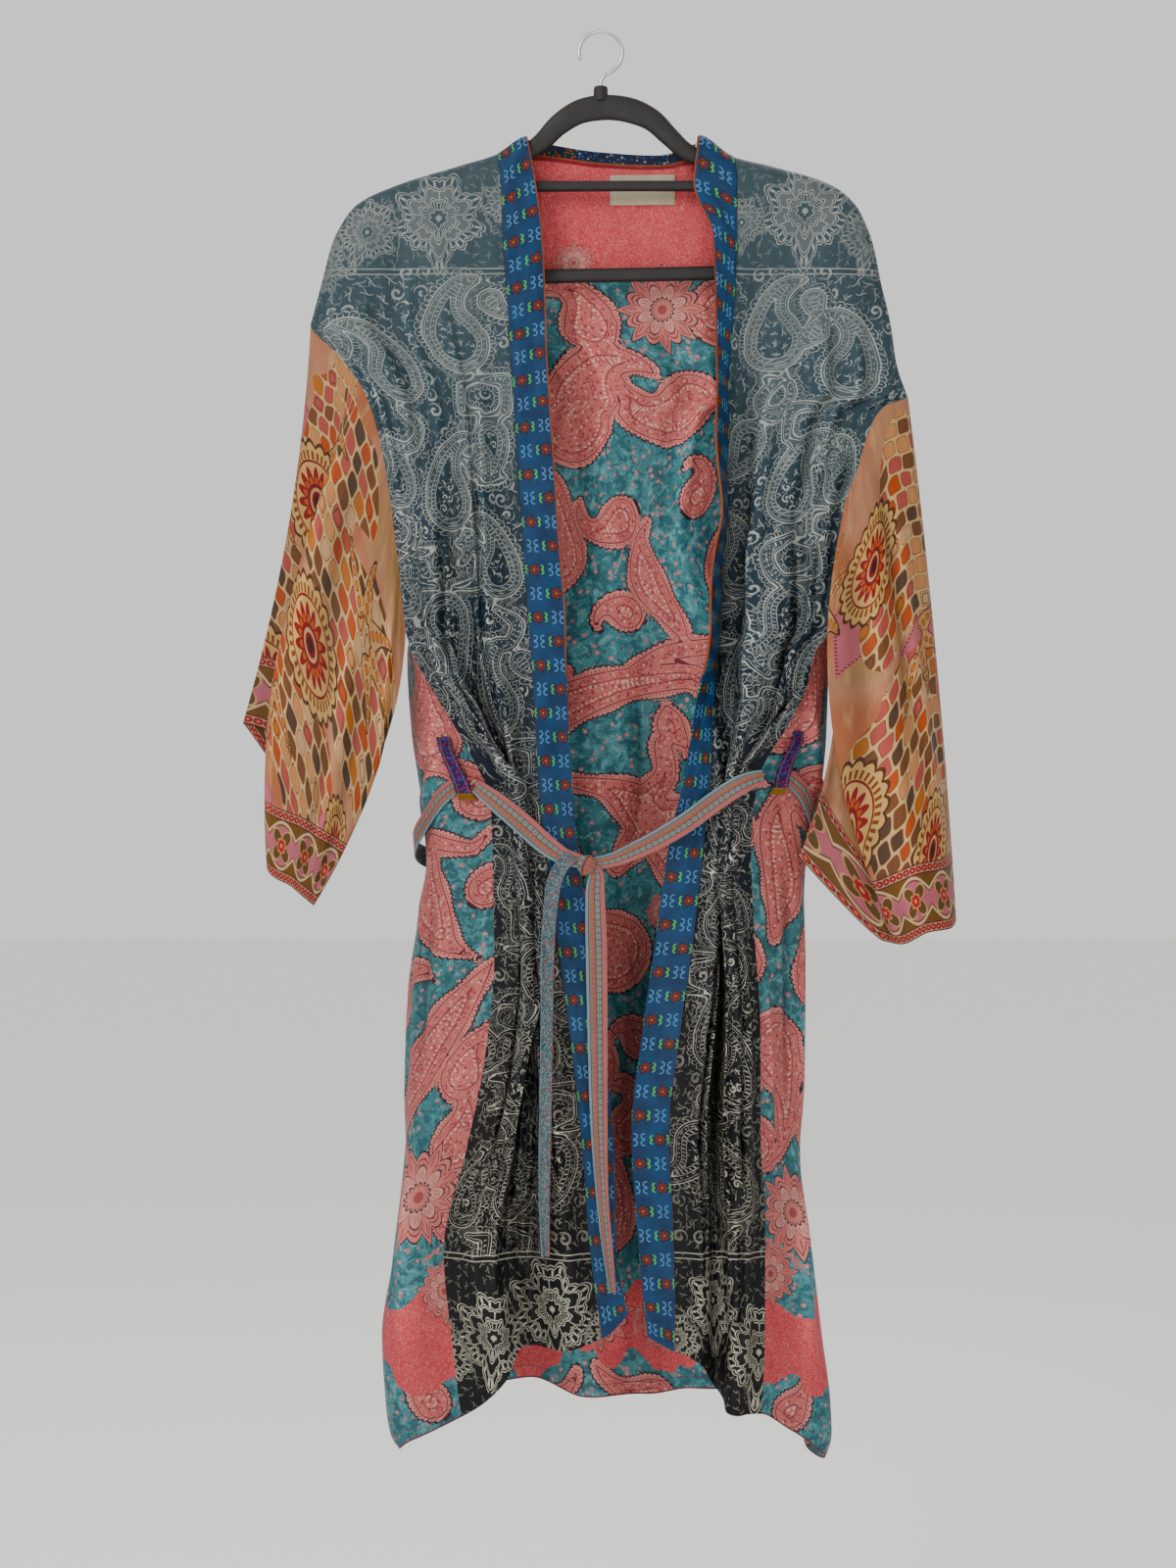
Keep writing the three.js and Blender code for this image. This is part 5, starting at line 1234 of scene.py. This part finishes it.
print("making the materials")
paisleySilk, lineSilk, bandSilk, neckSilk = makePaisleySilk(), makeLineSilk(), makeBandSilk(), makeNeckSilk()
beltSilk = makeBeltSilk("stripPrintedBeltSilk", False)
beltReverse = makeBeltSilk("beltSilkReverse", True)
loopSilk, labelTape, sleeveSilk = makeLoopSilk(), makeLabelTape(), makeSleeveSilk()
hangerPlastic, hookSteel = makeHangerPlastic(), makeHookSteel()


# The panels

panels = {"backLines": 188, "frontLines": 104, "rows": (84, 140, 28), "thick": 0.7, "neckFrom": -92,
          "neckTo": 98}


def makeBack():
    at = np.linspace(-body["seamAt"], body["seamAt"], panels["backLines"])
    top = topOf(at, False)
    inNeck = (at > panels["neckFrom"]) & (at < panels["neckTo"])
    seamZ = body["neck"]["seamZ"](sectionPoint(at, np.full_like(at, -110), False)[0])
    grid = stripGrid(at, False, panels["rows"], np.where(inNeck, seamZ, top))
    flat = flatCloth(grid, 0.5)
    fields = paisleyFields(flat, backMotifs, backFlowers)
    fields["relief"] = paintedShadingField(at[:, None], grid[..., 2], False)
    fields["hem"] = np.linalg.norm(grid - grid[:, -1:], axis=-1)
    makePiece("backPanel", clothWall(grid, panels["thick"]), [paisleySilk], ["back"], flat,
              fields)


# Lines of a strip on one side, from outer to inner on the left and mirrored on the right
def sideLines(side, outer, inner, count):
    at = np.linspace(outer, inner, count)
    return -at if side == "left" else at[::-1]


def makeFront(side):
    at = sideLines(side, body["bandAt"] - 0.4, body["seamAt"], panels["frontLines"])
    grid = stripGrid(at, True, panels["rows"])
    flat = flatCloth(grid, 0.0 if side == "left" else 1.0)
    flat[..., 0] = np.abs(flat[..., 0])
    fields = paisleyFields(flat, frontMotifs[side], frontFlowers[side])
    fields["relief"] = paintedShadingField(at[:, None], grid[..., 2], True)
    fields["hem"] = np.linalg.norm(grid - grid[:, -1:], axis=-1)
    makePiece(side + "Front", clothWall(grid, panels["thick"]), [lineSilk], ["front_" + side],
              flat, fields)


# The bands: a folded strip 1.6 mm thick, padded a little along its middle, puckered where it is sewn on

bands = {"wide": 32, "lines": 15, "rows": (90, 180, 12), "thick": 1.6, "pad": 0.7, "pucker": 0.35}


def makeBand(side):
    at = sideLines(side, body["freeAt"], body["bandAt"], bands["lines"])
    across = (np.abs(at) - body["bandAt"]) / (body["freeAt"] - body["bandAt"])
    z = lineHeights(topOf(at, True), body["hem"](at), *bands["rows"])
    seam = np.exp(-((across - 0.06) / 0.1)**2)[:, None]
    pucker = bands["pucker"] * seam * (np.sin(z / 3.1 + 1.5 * np.sin(z / 17)) * (0.6 + 0.4 * np.sin(z / 41)))
    wave = 0.8 * np.sin(z / 23 + 2 * np.sin(z / 71)) * across[:, None]**2
    grid = bodyPoint(at[:, None], z, True, pucker + wave + 0.9)
    edge = np.clip(4 * across * (1 - across), 0, 1)[:, None]
    thick = bands["thick"] + bands["pad"] * edge**0.5 * np.ones_like(z)
    down = runLength(grid, 1)
    u = np.broadcast_to((across * bands["wide"])[:, None], z.shape)
    makePiece(side + "Band", clothWall(grid, thick), [bandSilk], ["band_" + side], np.stack([u,
              down.mean(0)[None] * np.ones_like(z)], -1))


neckStrip = {"wide": 14, "lines": 90, "rows": 14, "thick": 1.6}


def makeNeckBand():
    at = np.linspace(panels["neckFrom"] + 1, panels["neckTo"] - 1, neckStrip["lines"])
    x = sectionPoint(at, np.full_like(at, -110), False)[0]
    z = mix(body["neck"]["topZ"](x)[:, None], body["neck"]["seamZ"](x)[:, None] - 1,
            np.linspace(0, 1, neckStrip["rows"]))
    grid = bodyPoint(at[:, None], z, False, -0.6)
    u = np.broadcast_to(x[:, None], z.shape)
    v = np.broadcast_to(np.linspace(0, neckStrip["wide"], neckStrip["rows"])[None], z.shape)
    makePiece("neckBand", clothWall(grid, neckStrip["thick"]), [neckSilk], ["band_neck"],
              np.stack([u, v], -1))


label = {"from": 1, "to": 74, "top": -120, "bottom": -146, "thick": 0.5}


def makeLabel():
    at, z = np.meshgrid(np.linspace(label["from"], label["to"], 30),
                        np.linspace(label["top"], label["bottom"], 14), indexing="ij")
    bend = 0.5 * np.sin(at / 9) * np.sin(z / 6)
    grid = bodyPoint(at, z, False, -1.6 + 0.5 * bend)
    makePiece("neckLabel", clothWall(grid, label["thick"]), [labelTape], ["neck_label"],
              np.stack([at, z], -1))


# The sleeves

sleeves = {
    "rows": 128, "lines": 168, "thick": 0.7, "paintedHollowShade": 2.6, "frontLow": -518.0, "backLow": -510.0,
    "left": table("at x y z bowX bowY bowZ", [
        [0, -312, 14, -598, 10, 4, 0], [0.045, -288, 10, -606, 4, 4, 0], [0.09, -279, -4, -640, 6, -4, 0],
        [0.15, -286, -31, -719, -27, -14, 0], [0.3, -264, -38, -739, -6, -16, 0],
        [0.5, -246, -30, -755, 18, -8, 0], [0.57, -249, -18, -742, 4, -2, 0],
        [0.66, -254, -2, -718, -6, 8, 0], [0.82, -272, 16, -660, 0, 14, 0]]),
    "right": table("at x y z bowX bowY bowZ", [
        [0, 308, 0, -769, 4, 2, 0], [0.09, 300, -26, -775, 2, -10, 0], [0.19, 280, -36, -778, -4, -16, 0],
        [0.29, 257, -38, -788, -34, -16, 0], [0.37, 243, -24, -786, -2, -6, 0],
        [0.5, 169, -30, -713, 14, -10, 0], [0.57, 190, -24, -726, 20, -2, 0],
        [0.66, 216, -8, -742, 10, 6, 0], [0.82, 270, 14, -770, 4, 14, 0]]),
    # creases: round the ring and along the sleeve, as shares, from one point to another
    "leftCreases": [
        [0.12, 0.05, 0.2, 0.75, 0.02, 2.6, 0.018], [0.2, 0.02, 0.3, 0.55, -0.02, -2.4, 0.02],
        [0.26, 0.1, 0.36, 0.9, 0.02, 2.6, 0.02], [0.34, 0.3, 0.43, 0.98, 0.01, -2.4, 0.018],
        [0.4, 0.02, 0.47, 0.5, -0.02, 2.8, 0.018], [0.45, 0.2, 0.5, 0.8, 0.02, -2.2, 0.016],
        [0.16, 0.45, 0.2, 0.98, -0.015, 2.2, 0.016], [0.3, 0.55, 0.33, 1.0, 0.02, -2.0, 0.02],
        [0.62, 0.05, 0.66, 0.7, 0.02, 2.6, 0.02], [0.7, 0.1, 0.74, 0.9, -0.02, -2.6, 0.02],
        [0.8, 0.05, 0.82, 0.7, 0.02, 2.4, 0.02], [0.89, 0.1, 0.9, 0.85, -0.02, -2.2, 0.02]],
    "rightCreases": [
        [0.06, 0.05, 0.08, 0.8, 0.02, 2.4, 0.018], [0.12, 0.02, 0.15, 0.6, -0.02, -2.6, 0.018],
        [0.18, 0.1, 0.2, 0.95, 0.015, 2.6, 0.02], [0.25, 0.05, 0.26, 0.7, -0.02, -2.2, 0.018],
        [0.31, 0.1, 0.33, 0.75, 0.02, 3.0, 0.018], [0.36, 0.3, 0.4, 0.95, -0.02, -2.6, 0.018],
        [0.42, 0.05, 0.45, 0.6, 0.02, 2.8, 0.016], [0.47, 0.25, 0.48, 0.9, -0.01, -2.2, 0.016],
        [0.22, 0.5, 0.22, 1.0, 0.015, 2.0, 0.016], [0.62, 0.05, 0.63, 0.8, 0.02, 2.6, 0.02],
        [0.7, 0.1, 0.72, 0.9, -0.02, -2.6, 0.02], [0.8, 0.05, 0.8, 0.8, 0.02, 2.4, 0.02],
        [0.9, 0.15, 0.9, 0.9, -0.02, -2.4, 0.02]],
}


# Closed smooth curve through knots given as shares of a ring
def aroundRing(knots, values):
    x = np.concatenate([knots - 1, knots, knots + 1])
    return smoothCurve(x, np.tile(values, 3))


# Points of the armhole at even spacing, closed: from the underarm up the back edge and down the front edge,
# with the share of the way round that each has from the shoulder
def armholeRing(sign):
    at = np.array([sign * body["seamAt"]], float)
    edges = []
    for onFront, low in [(True, sleeves["frontLow"]), (False, sleeves["backLow"])]:
        top = topOf(at, onFront)[0]
        heights = mix(top, low, np.linspace(0, 1, 400)**1.3)
        edges.append(bodyPoint(at, heights, onFront))
    front, back = edges
    under = (front[-1:] + back[-1:]) / 2
    ring = np.concatenate([under, back[::-1], front, under])
    run = runLength(ring)
    way = np.linspace(0, run[-1], sleeves["lines"])
    share = np.mod(way - run[len(back) + 1], run[-1]) / run[-1]
    return np.stack([np.interp(way, run, ring[:, k]) for k in range(3)], -1), share


# Sleeve: each armhole point runs straight to its point on the cuff and swings out by bow * 4 v (1 - v); the
# creases are bells round the ring
def makeSleeve(side):
    sign = -1 if side == "left" else 1
    ring, share = armholeRing(sign)
    t = sleeves[side]
    cuff = {name: aroundRing(t["at"], t[name])(share) for name in t if name != "at"}
    end = np.stack([cuff["x"], cuff["y"], cuff["z"]], -1)
    bow = np.stack([cuff["bowX"], cuff["bowY"], cuff["bowZ"]], -1)
    v = np.linspace(0, 1, sleeves["rows"])
    swing = (4 * v * (1 - v))[:, None]
    grid = mix(ring[:, None], end[:, None], v[None, :, None]) + bow[:, None] * swing
    normal = np.cross(np.gradient(grid, axis=0), np.gradient(grid, axis=1))
    normal[0] = normal[-1] = normal[0] + normal[-1]
    normal /= np.linalg.norm(normal, axis=-1, keepdims=True) + 1e-9
    deep = np.zeros(grid.shape[:2])
    for a0, v0, a1, v1, bend, high, wide in sleeves[side + "Creases"]:
        along = np.clip((v - v0) / (v1 - v0), 0, 1)
        middle = mix(a0, a1, along) + bend * 4 * along * (1 - along)
        fade = smooth(-0.05, 0.3, (v - v0) / (v1 - v0)) * smooth(1.1, 0.75, (v - v0) / (v1 - v0))
        deep += high * fade * np.exp(-((share[:, None] - middle) / wide)**2)
    deep *= smooth(0, 0.04, v)[None]
    grid = grid + normal * (sign * deep)[..., None]
    if sign < 0:
        grid, deep = grid[::-1], deep[::-1]
    around = np.linalg.norm(np.diff(grid, axis=0), axis=-1).mean(1)
    u = np.concatenate([[0], np.cumsum(around)])[:, None] * np.ones_like(v)
    down = runLength(grid, 1)
    flat = np.stack([u, down], -1)
    fields = sleeveFields(side, flat)
    fields["hem"] = down[:, -1:] - down
    # painted shade and light: the crease depth, scaled by the hollow setting, is the relief by which the
    # shader darkens the creases' hollows and lightens their crests, turned round on the inner sheet
    fields["relief"] = np.stack([deep, -deep]) * sleeves["paintedHollowShade"]
    makePiece(side + "Sleeve", clothWall(grid, sleeves["thick"]), [sleeveSilk], ["sleeve_" + side],
              flat, fields)


# The belt: a pressed strip, sewn along one edge

belt = {
    "left": table("x y z wide", [
        [-106, -52, -653, 12], [-98, -56, -659, 14], [-84, -57.5, -670, 17], [-63, -57.5, -688, 18],
        [-46, -57.5, -703, 17], [-30, -58, -713, 14], [-15, -58, -717, 11]]),
    "right": table("x y z wide", [
        [138, -53, -645, 12], [130, -56, -647, 14], [116, -57.5, -653, 17], [99, -57.5, -664, 17],
        [67, -57, -687, 17], [32, -58, -706, 15], [7, -58, -716, 12], [-8, -58, -719, 11]]),
    "tailLong": table("x y z wide", [
        [-7, -60, -722, 11], [-4, -59.5, -729, 13], [-5, -59, -742, 16], [-4, -58, -790, 18],
        [-3, -57, -860, 17], [-2, -57, -930, 15], [1, -57, -1000, 11], [6, -57, -1050, 9],
        [10, -57, -1082, 6]]),
    "tailShort": table("x y z wide", [
        [-24, -60, -712, 10], [-33, -60.5, -720, 12], [-40, -60.5, -736, 12], [-45, -61, -790, 11],
        [-46, -61, -860, 10], [-47, -61, -930, 10], [-48, -61, -1000, 9], [-47, -60, -1051, 6]]),
    "round": table("at z out", [
        [-311, -645, 3.4], [-290, -662, 7], [-262, -690, 8], [-235, -706, 7], [-195, -717, 11],
        [-150, -728, 11], [0, -738, 12], [150, -728, 12], [195, -714, 11], [235, -703, 7],
        [262, -688, 8], [290, -656, 7], [311, -639, 3.4]]),
    "wide": 18, "bunched": 11, "thick": 1.3, "ripple": 0.7, "steps": 160, "lines": 9, "roundSteps": 300,
}


# Strip along a smooth line through the table's points, its face to the viewer, rippled by small waves
def makeRibbon(name, t, nodes, faces=None):
    points = np.stack([t["x"], t["y"], t["z"]], -1)
    run = runLength(points)
    s = np.linspace(0, run[-1], belt["steps"])
    middle = np.stack([smoothCurve(run, points[:, k])(s) for k in range(3)], -1)
    wide = smoothCurve(run, t["wide"])(s)
    tangent = np.gradient(middle, axis=0)
    tangent /= np.linalg.norm(tangent, axis=-1, keepdims=True)
    side = np.cross(tangent, [0.0, -1.0, 0.0])
    side /= np.linalg.norm(side, axis=-1, keepdims=True)
    face = np.cross(side, tangent)
    across = np.linspace(-0.5, 0.5, belt["lines"])[:, None, None]
    grid = middle + across * side * wide[:, None]
    wave = belt["ripple"] * np.sin(s / 9 + 2 * np.sin(s / 31)) * np.abs(across[..., 0]) * 2
    cup = 1.6 * (0.25 - across[..., 0]**2) * 4 * smooth(18, 9, wide)
    grid = grid - face * (wave + cup)[..., None]
    u = np.broadcast_to((across[..., 0] + 0.5) * belt["wide"], grid.shape[:2])
    makePiece(name, clothWall(grid[::-1], belt["thick"]), faces or [beltReverse, beltSilk], nodes,
              np.stack([u[::-1], np.broadcast_to(s, grid.shape[:2])], -1))


def makeBeltBack():
    at = belt["round"]["at"]
    u = np.linspace(at[0], at[-1], belt["roundSteps"])
    z = smoothCurve(at, belt["round"]["z"])(u)
    out = smoothCurve(at, belt["round"]["out"])(u)
    wide = mix(belt["wide"], belt["bunched"], smooth(285, 308, np.abs(u)))
    across = np.linspace(-0.5, 0.5, belt["lines"])[:, None]
    height = z - across * wide
    x, y, tx, ty = sectionPoint(u + 0 * across, height, False)
    grid = np.stack([x - ty * out, y + tx * out, height], -1)
    s = runLength(grid[belt["lines"] // 2])
    flat = np.stack([(across + 0.5) * belt["wide"] + 0 * u, np.broadcast_to(s, height.shape)], -1)
    makePiece("beltBack", clothWall(grid[::-1], belt["thick"]), [beltSilk, beltReverse], ["belt_back"],
              flat[::-1])


loops = {"wide": 11, "thick": 1.0, "sewn": 1.6, "stands": 6.4,
         "left": (-308, -611, -665), "right": (308, -606, -660)}


def makeLoop(side):
    at, top, bottom = loops[side]
    across, t = np.meshgrid(np.linspace(-0.5, 0.5, 9), np.linspace(0, 1, 60), indexing="ij")
    lift = loops["sewn"] + loops["stands"] * smooth(0, 0.2, t) * (1 - smooth(0.88, 1, t))
    grid = bodyPoint(at + across * loops["wide"], mix(top, bottom, t), False, lift)
    flat = np.stack([(across + 0.5) * loops["wide"], t * abs(bottom - top)], -1)
    makePiece(side + "BeltLoop", clothWall(grid, loops["thick"]), [loopSilk], ["belt_loop_" + side],
              flat)


# The knot: a lump of two wraps. Its radius swells as 1 + 0.12 |sin| across each wrap, and grooves part them.
knot = {"place": (-12, -58, -720), "size": (8.2, 5.4, 8.8), "turn": 0.35}


def makeKnot():
    around, up = np.meshgrid(np.linspace(0, 2 * np.pi, 61), np.linspace(0.02, np.pi - 0.02, 40),
                             indexing="ij")
    groove = 0.1 * np.abs(np.sin(1.5 * (np.cos(up) * 2.2 + 0.7 * np.sin(around)))) - 0.05
    radius = 1 + groove + 0.03 * np.sin(5 * around + 3 * up)
    a, b, c = knot["size"]
    point = np.stack([np.sin(up) * np.cos(around) * a, np.sin(up) * np.sin(around) * b, np.cos(up) * c], -1)
    point *= radius[..., None]
    turn = knot["turn"]
    x, z = point[..., 0], point[..., 2]
    point[..., 0], point[..., 2] = x * np.cos(turn) + z * np.sin(turn), -x * np.sin(turn) + z * np.cos(turn)
    point += np.array(knot["place"], float)
    columns, rows = around.shape
    k = np.arange(columns * rows).reshape(columns, rows)
    k[-1] = k[0]
    quads = np.stack([k[:-1, :-1], k[:-1, 1:], k[1:, 1:], k[1:, :-1]], -1).reshape(-1, 4)
    ends = [k[:-1, 0].tolist(), k[:-1, -1][::-1].tolist()]
    faces = quads.tolist() + ends
    uv = np.stack([around * 2.2, up * 9], -1)
    mesh = bpy.data.meshes.new("beltKnot")
    mesh.from_pydata(point.reshape(-1, 3) * metre, [], faces)
    layer = mesh.uv_layers.new(name="cloth")
    corners = np.array([v for face in faces for v in face])
    layer.data.foreach_set("uv", (uv.reshape(-1, 2)[corners] * metre).astype(np.float32).reshape(-1))
    mesh.materials.append(beltSilk)
    addPiece("beltKnot", mesh, ["belt_knot"])


# The hanger: smooth sweeps of a rounded section along the arch and the two bars

hanger = {
    "top": table("x z high", [
        [-188, -148.4, 9], [-178, -141.9, 12], [-124, -125.4, 13], [-92, -114.9, 13], [-66, -105, 13],
        [-52, -95, 14], [-36, -79, 17], [-18, -68, 20], [0, -64.5, 22], [24, -66.5, 22], [44, -75, 19],
        [59, -89, 16], [72, -101, 14], [90, -110.4, 13], [112, -117.9, 13], [148, -126.4, 13],
        [200, -142.9, 12], [209, -149.4, 9]]),
    "upperBar": table("x z high", [[-150, -134, 9], [-60, -133, 9], [60, -132.5, 9], [172, -134, 9]]),
    "lowerBar": table("x z high", [
        [-184, -147, 9], [-191, -170, 10], [-186, -196, 11], [-168, -209, 12], [-120, -211, 12],
        [0, -210, 12], [130, -207, 12], [186, -205, 12], [206, -192, 11], [212, -168, 10], [205, -148, 9]]),
    "nub": table("z size", [[-59, 6.6], [-56, 6.4], [-48.2, 6.1], [-46.8, 5.7], [-46.2, 4.8]]),
    "halfDepth": 5, "wire": 1.8, "hookRadius": 18.8, "hookFrom": -75, "hookTo": 200,
    "shank": [[0, 0, -48.0], [0, 0, -43.5]],
}


# Tube round a line: a ring of a superellipse |a|^p + |b|^p = 1 at each point, closed by its end rings
def sweep(middle, halfHigh, halfDeep, sides=28, power=2.6):
    tangent = np.gradient(middle, axis=0)
    tangent /= np.linalg.norm(tangent, axis=-1, keepdims=True)
    up = np.stack([-tangent[:, 2], 0 * tangent[:, 0], tangent[:, 0]], -1)
    angle = np.linspace(0, 2 * np.pi, sides, endpoint=False)
    shape = lambda w: np.sign(w) * np.abs(w)**(2 / power)
    a, b = shape(np.cos(angle)), shape(np.sin(angle))
    rings = middle[:, None] + up[:, None] * (a * halfHigh[:, None])[..., None]
    rings = rings + np.array([0, -1.0, 0]) * (b * halfDeep[:, None])[..., None]
    count = len(middle)
    k = np.arange(count * sides).reshape(count, sides)
    n = np.roll(k, -1, 1)
    quads = np.stack([k[:-1], n[:-1], n[1:], k[1:]], -1).reshape(-1, 4).tolist()
    return rings.reshape(-1, 3), quads + [k[0][::-1].tolist(), k[-1].tolist()]


def chordCurve(points, steps):
    run = runLength(points)
    s = np.linspace(0, run[-1], steps)
    slope = np.gradient(points, run, axis=0)
    k = np.clip(np.searchsorted(run, s, side="right") - 1, 0, len(run) - 2)
    w = run[k + 1] - run[k]
    t = (s - run[k]) / w
    t, w = t[:, None], w[:, None]
    return hermite(t, w, points[k], points[k + 1], slope[k], slope[k + 1]), s / run[-1]


def makeSolid(name, parts, material, nodes):
    points, faces, base = [], [], 0
    for p, f in parts:
        points.append(p)
        faces += [[v + base for v in face] for face in f]
        base += len(p)
    mesh = bpy.data.meshes.new(name)
    mesh.from_pydata(np.concatenate(points) * metre, [], faces)
    mesh.materials.append(material)
    addPiece(name, mesh, nodes, 40)


def makeHanger():
    parts = []
    for key, steps in [("top", 220), ("upperBar", 40), ("lowerBar", 160)]:
        t = hanger[key]
        middle, s = chordCurve(np.stack([t["x"], 0 * t["x"], t["z"]], -1), steps)
        high = smoothCurve(np.linspace(0, 1, len(t["x"])), t["high"])(s) / 2
        parts.append(sweep(middle, high, np.minimum(high, hanger["halfDepth"])))
    z, size = hanger["nub"]["z"], hanger["nub"]["size"]
    parts.append(sweep(np.stack([0 * z, 0 * z, z], -1), size, size, 36, 2))
    makeSolid("hangerFrame", parts, hangerPlastic, ["hanger_body"])
    radius, wire = hanger["hookRadius"], hanger["wire"]
    angle = np.radians(np.linspace(hanger["hookFrom"], hanger["hookTo"], 24))
    centre = -(radius - wire)
    bend = np.stack([radius * np.cos(angle), 0 * angle, centre + radius * np.sin(angle)], -1)
    line = np.concatenate([hanger["shank"], bend])
    middle, s = chordCurve(line, 160)
    size = wire * np.where(s > 0.985, np.sqrt(np.clip(1 - ((s - 0.985) / 0.016)**2, 0.05, 1)), 1)
    makeSolid("hangerHook", [sweep(middle, size, size, 20, 2)], hookSteel, ["hanger_hook"])


# Build

print("making the panels")
makeBack()
for side in ["left", "right"]:
    makeFront(side)
    makeBand(side)
makeNeckBand()
makeLabel()
print("making the sleeves")
for side in ["left", "right"]:
    makeSleeve(side)
print("making the belt")
makeRibbon("beltLeft", belt["left"], ["belt_left"])
makeRibbon("beltRight", belt["right"], ["belt_right"])
makeRibbon("beltTailLong", belt["tailLong"], ["belt_tail_long"])
makeRibbon("beltTailShort", belt["tailShort"], ["belt_tail_short"], faces=[beltSilk, beltReverse])
makeBeltBack()
makeKnot()
for side in ["left", "right"]:
    makeLoop(side)
print("making the hanger")
makeHanger()

# Room, light and camera

room = {"floorZ": -1.62, "floorSize": 30, "worldColour": "#fbfbfa", "worldStrength": 1.0}


def makeRoom():
    mesh = bpy.data.meshes.new("floor")
    h = room["floorSize"] / 2
    mesh.from_pydata([(-h, -h, room["floorZ"]), (h, -h, room["floorZ"]), (h, h, room["floorZ"]),
                      (-h, h, room["floorZ"])], [], [(0, 1, 2, 3)])
    floor = bpy.data.objects.new("floor", mesh)
    bpy.context.collection.objects.link(floor)
    material, add = newMaterial("paleFloor")
    add("OutputMaterial", add("BsdfPrincipled", named={"Base Color": hexColour("#f4f4f2"), "Roughness": 0.9}))
    mesh.materials.append(material)
    world = bpy.data.worlds.new("paleRoom")
    world.use_nodes = True
    back = world.node_tree.nodes["Background"]
    back.inputs["Color"].default_value = hexColour(room["worldColour"])
    back.inputs["Strength"].default_value = room["worldStrength"]
    bpy.context.scene.world = world


lamps = [("keyLamp", (-1.5, -2.1, 0.9), (0, 0, -0.6), 1.1, 58),
         ("fillLamp", (0.15, -2.6, -1.1), (0, 0, -0.95), 1.2, 26),
         ("topLamp", (0.3, 1.2, 1.4), (0, 0, -0.5), 1.4, 22)]


def makeLamps():
    for name, place, aim, size, watts in lamps:
        light = bpy.data.lights.new(name, "AREA")
        light.energy, light.size = watts, size
        lamp = bpy.data.objects.new(name, light)
        lamp.location = place
        lamp.rotation_euler = (Vector(aim) - Vector(place)).to_track_quat("-Z", "Y").to_euler()
        bpy.context.collection.objects.link(lamp)


# The camera looks level from the front, 2.4 m off, and sees 1.36 m from top to bottom
view = {"sensor": 36, "away": 2.4, "tall": 1.36, "x": -0.01105, "z": -0.6511}


def makeCamera():
    camera = bpy.data.cameras.new("camera")
    camera.sensor_width, camera.lens = view["sensor"], view["sensor"] * view["away"] / view["tall"]
    eye = bpy.data.objects.new("camera", camera)
    eye.location = (view["x"], -view["away"], view["z"])
    eye.rotation_euler = (np.pi / 2, 0, 0)
    bpy.context.collection.objects.link(eye)
    bpy.context.scene.camera = eye


makeRoom()
makeLamps()
makeCamera()
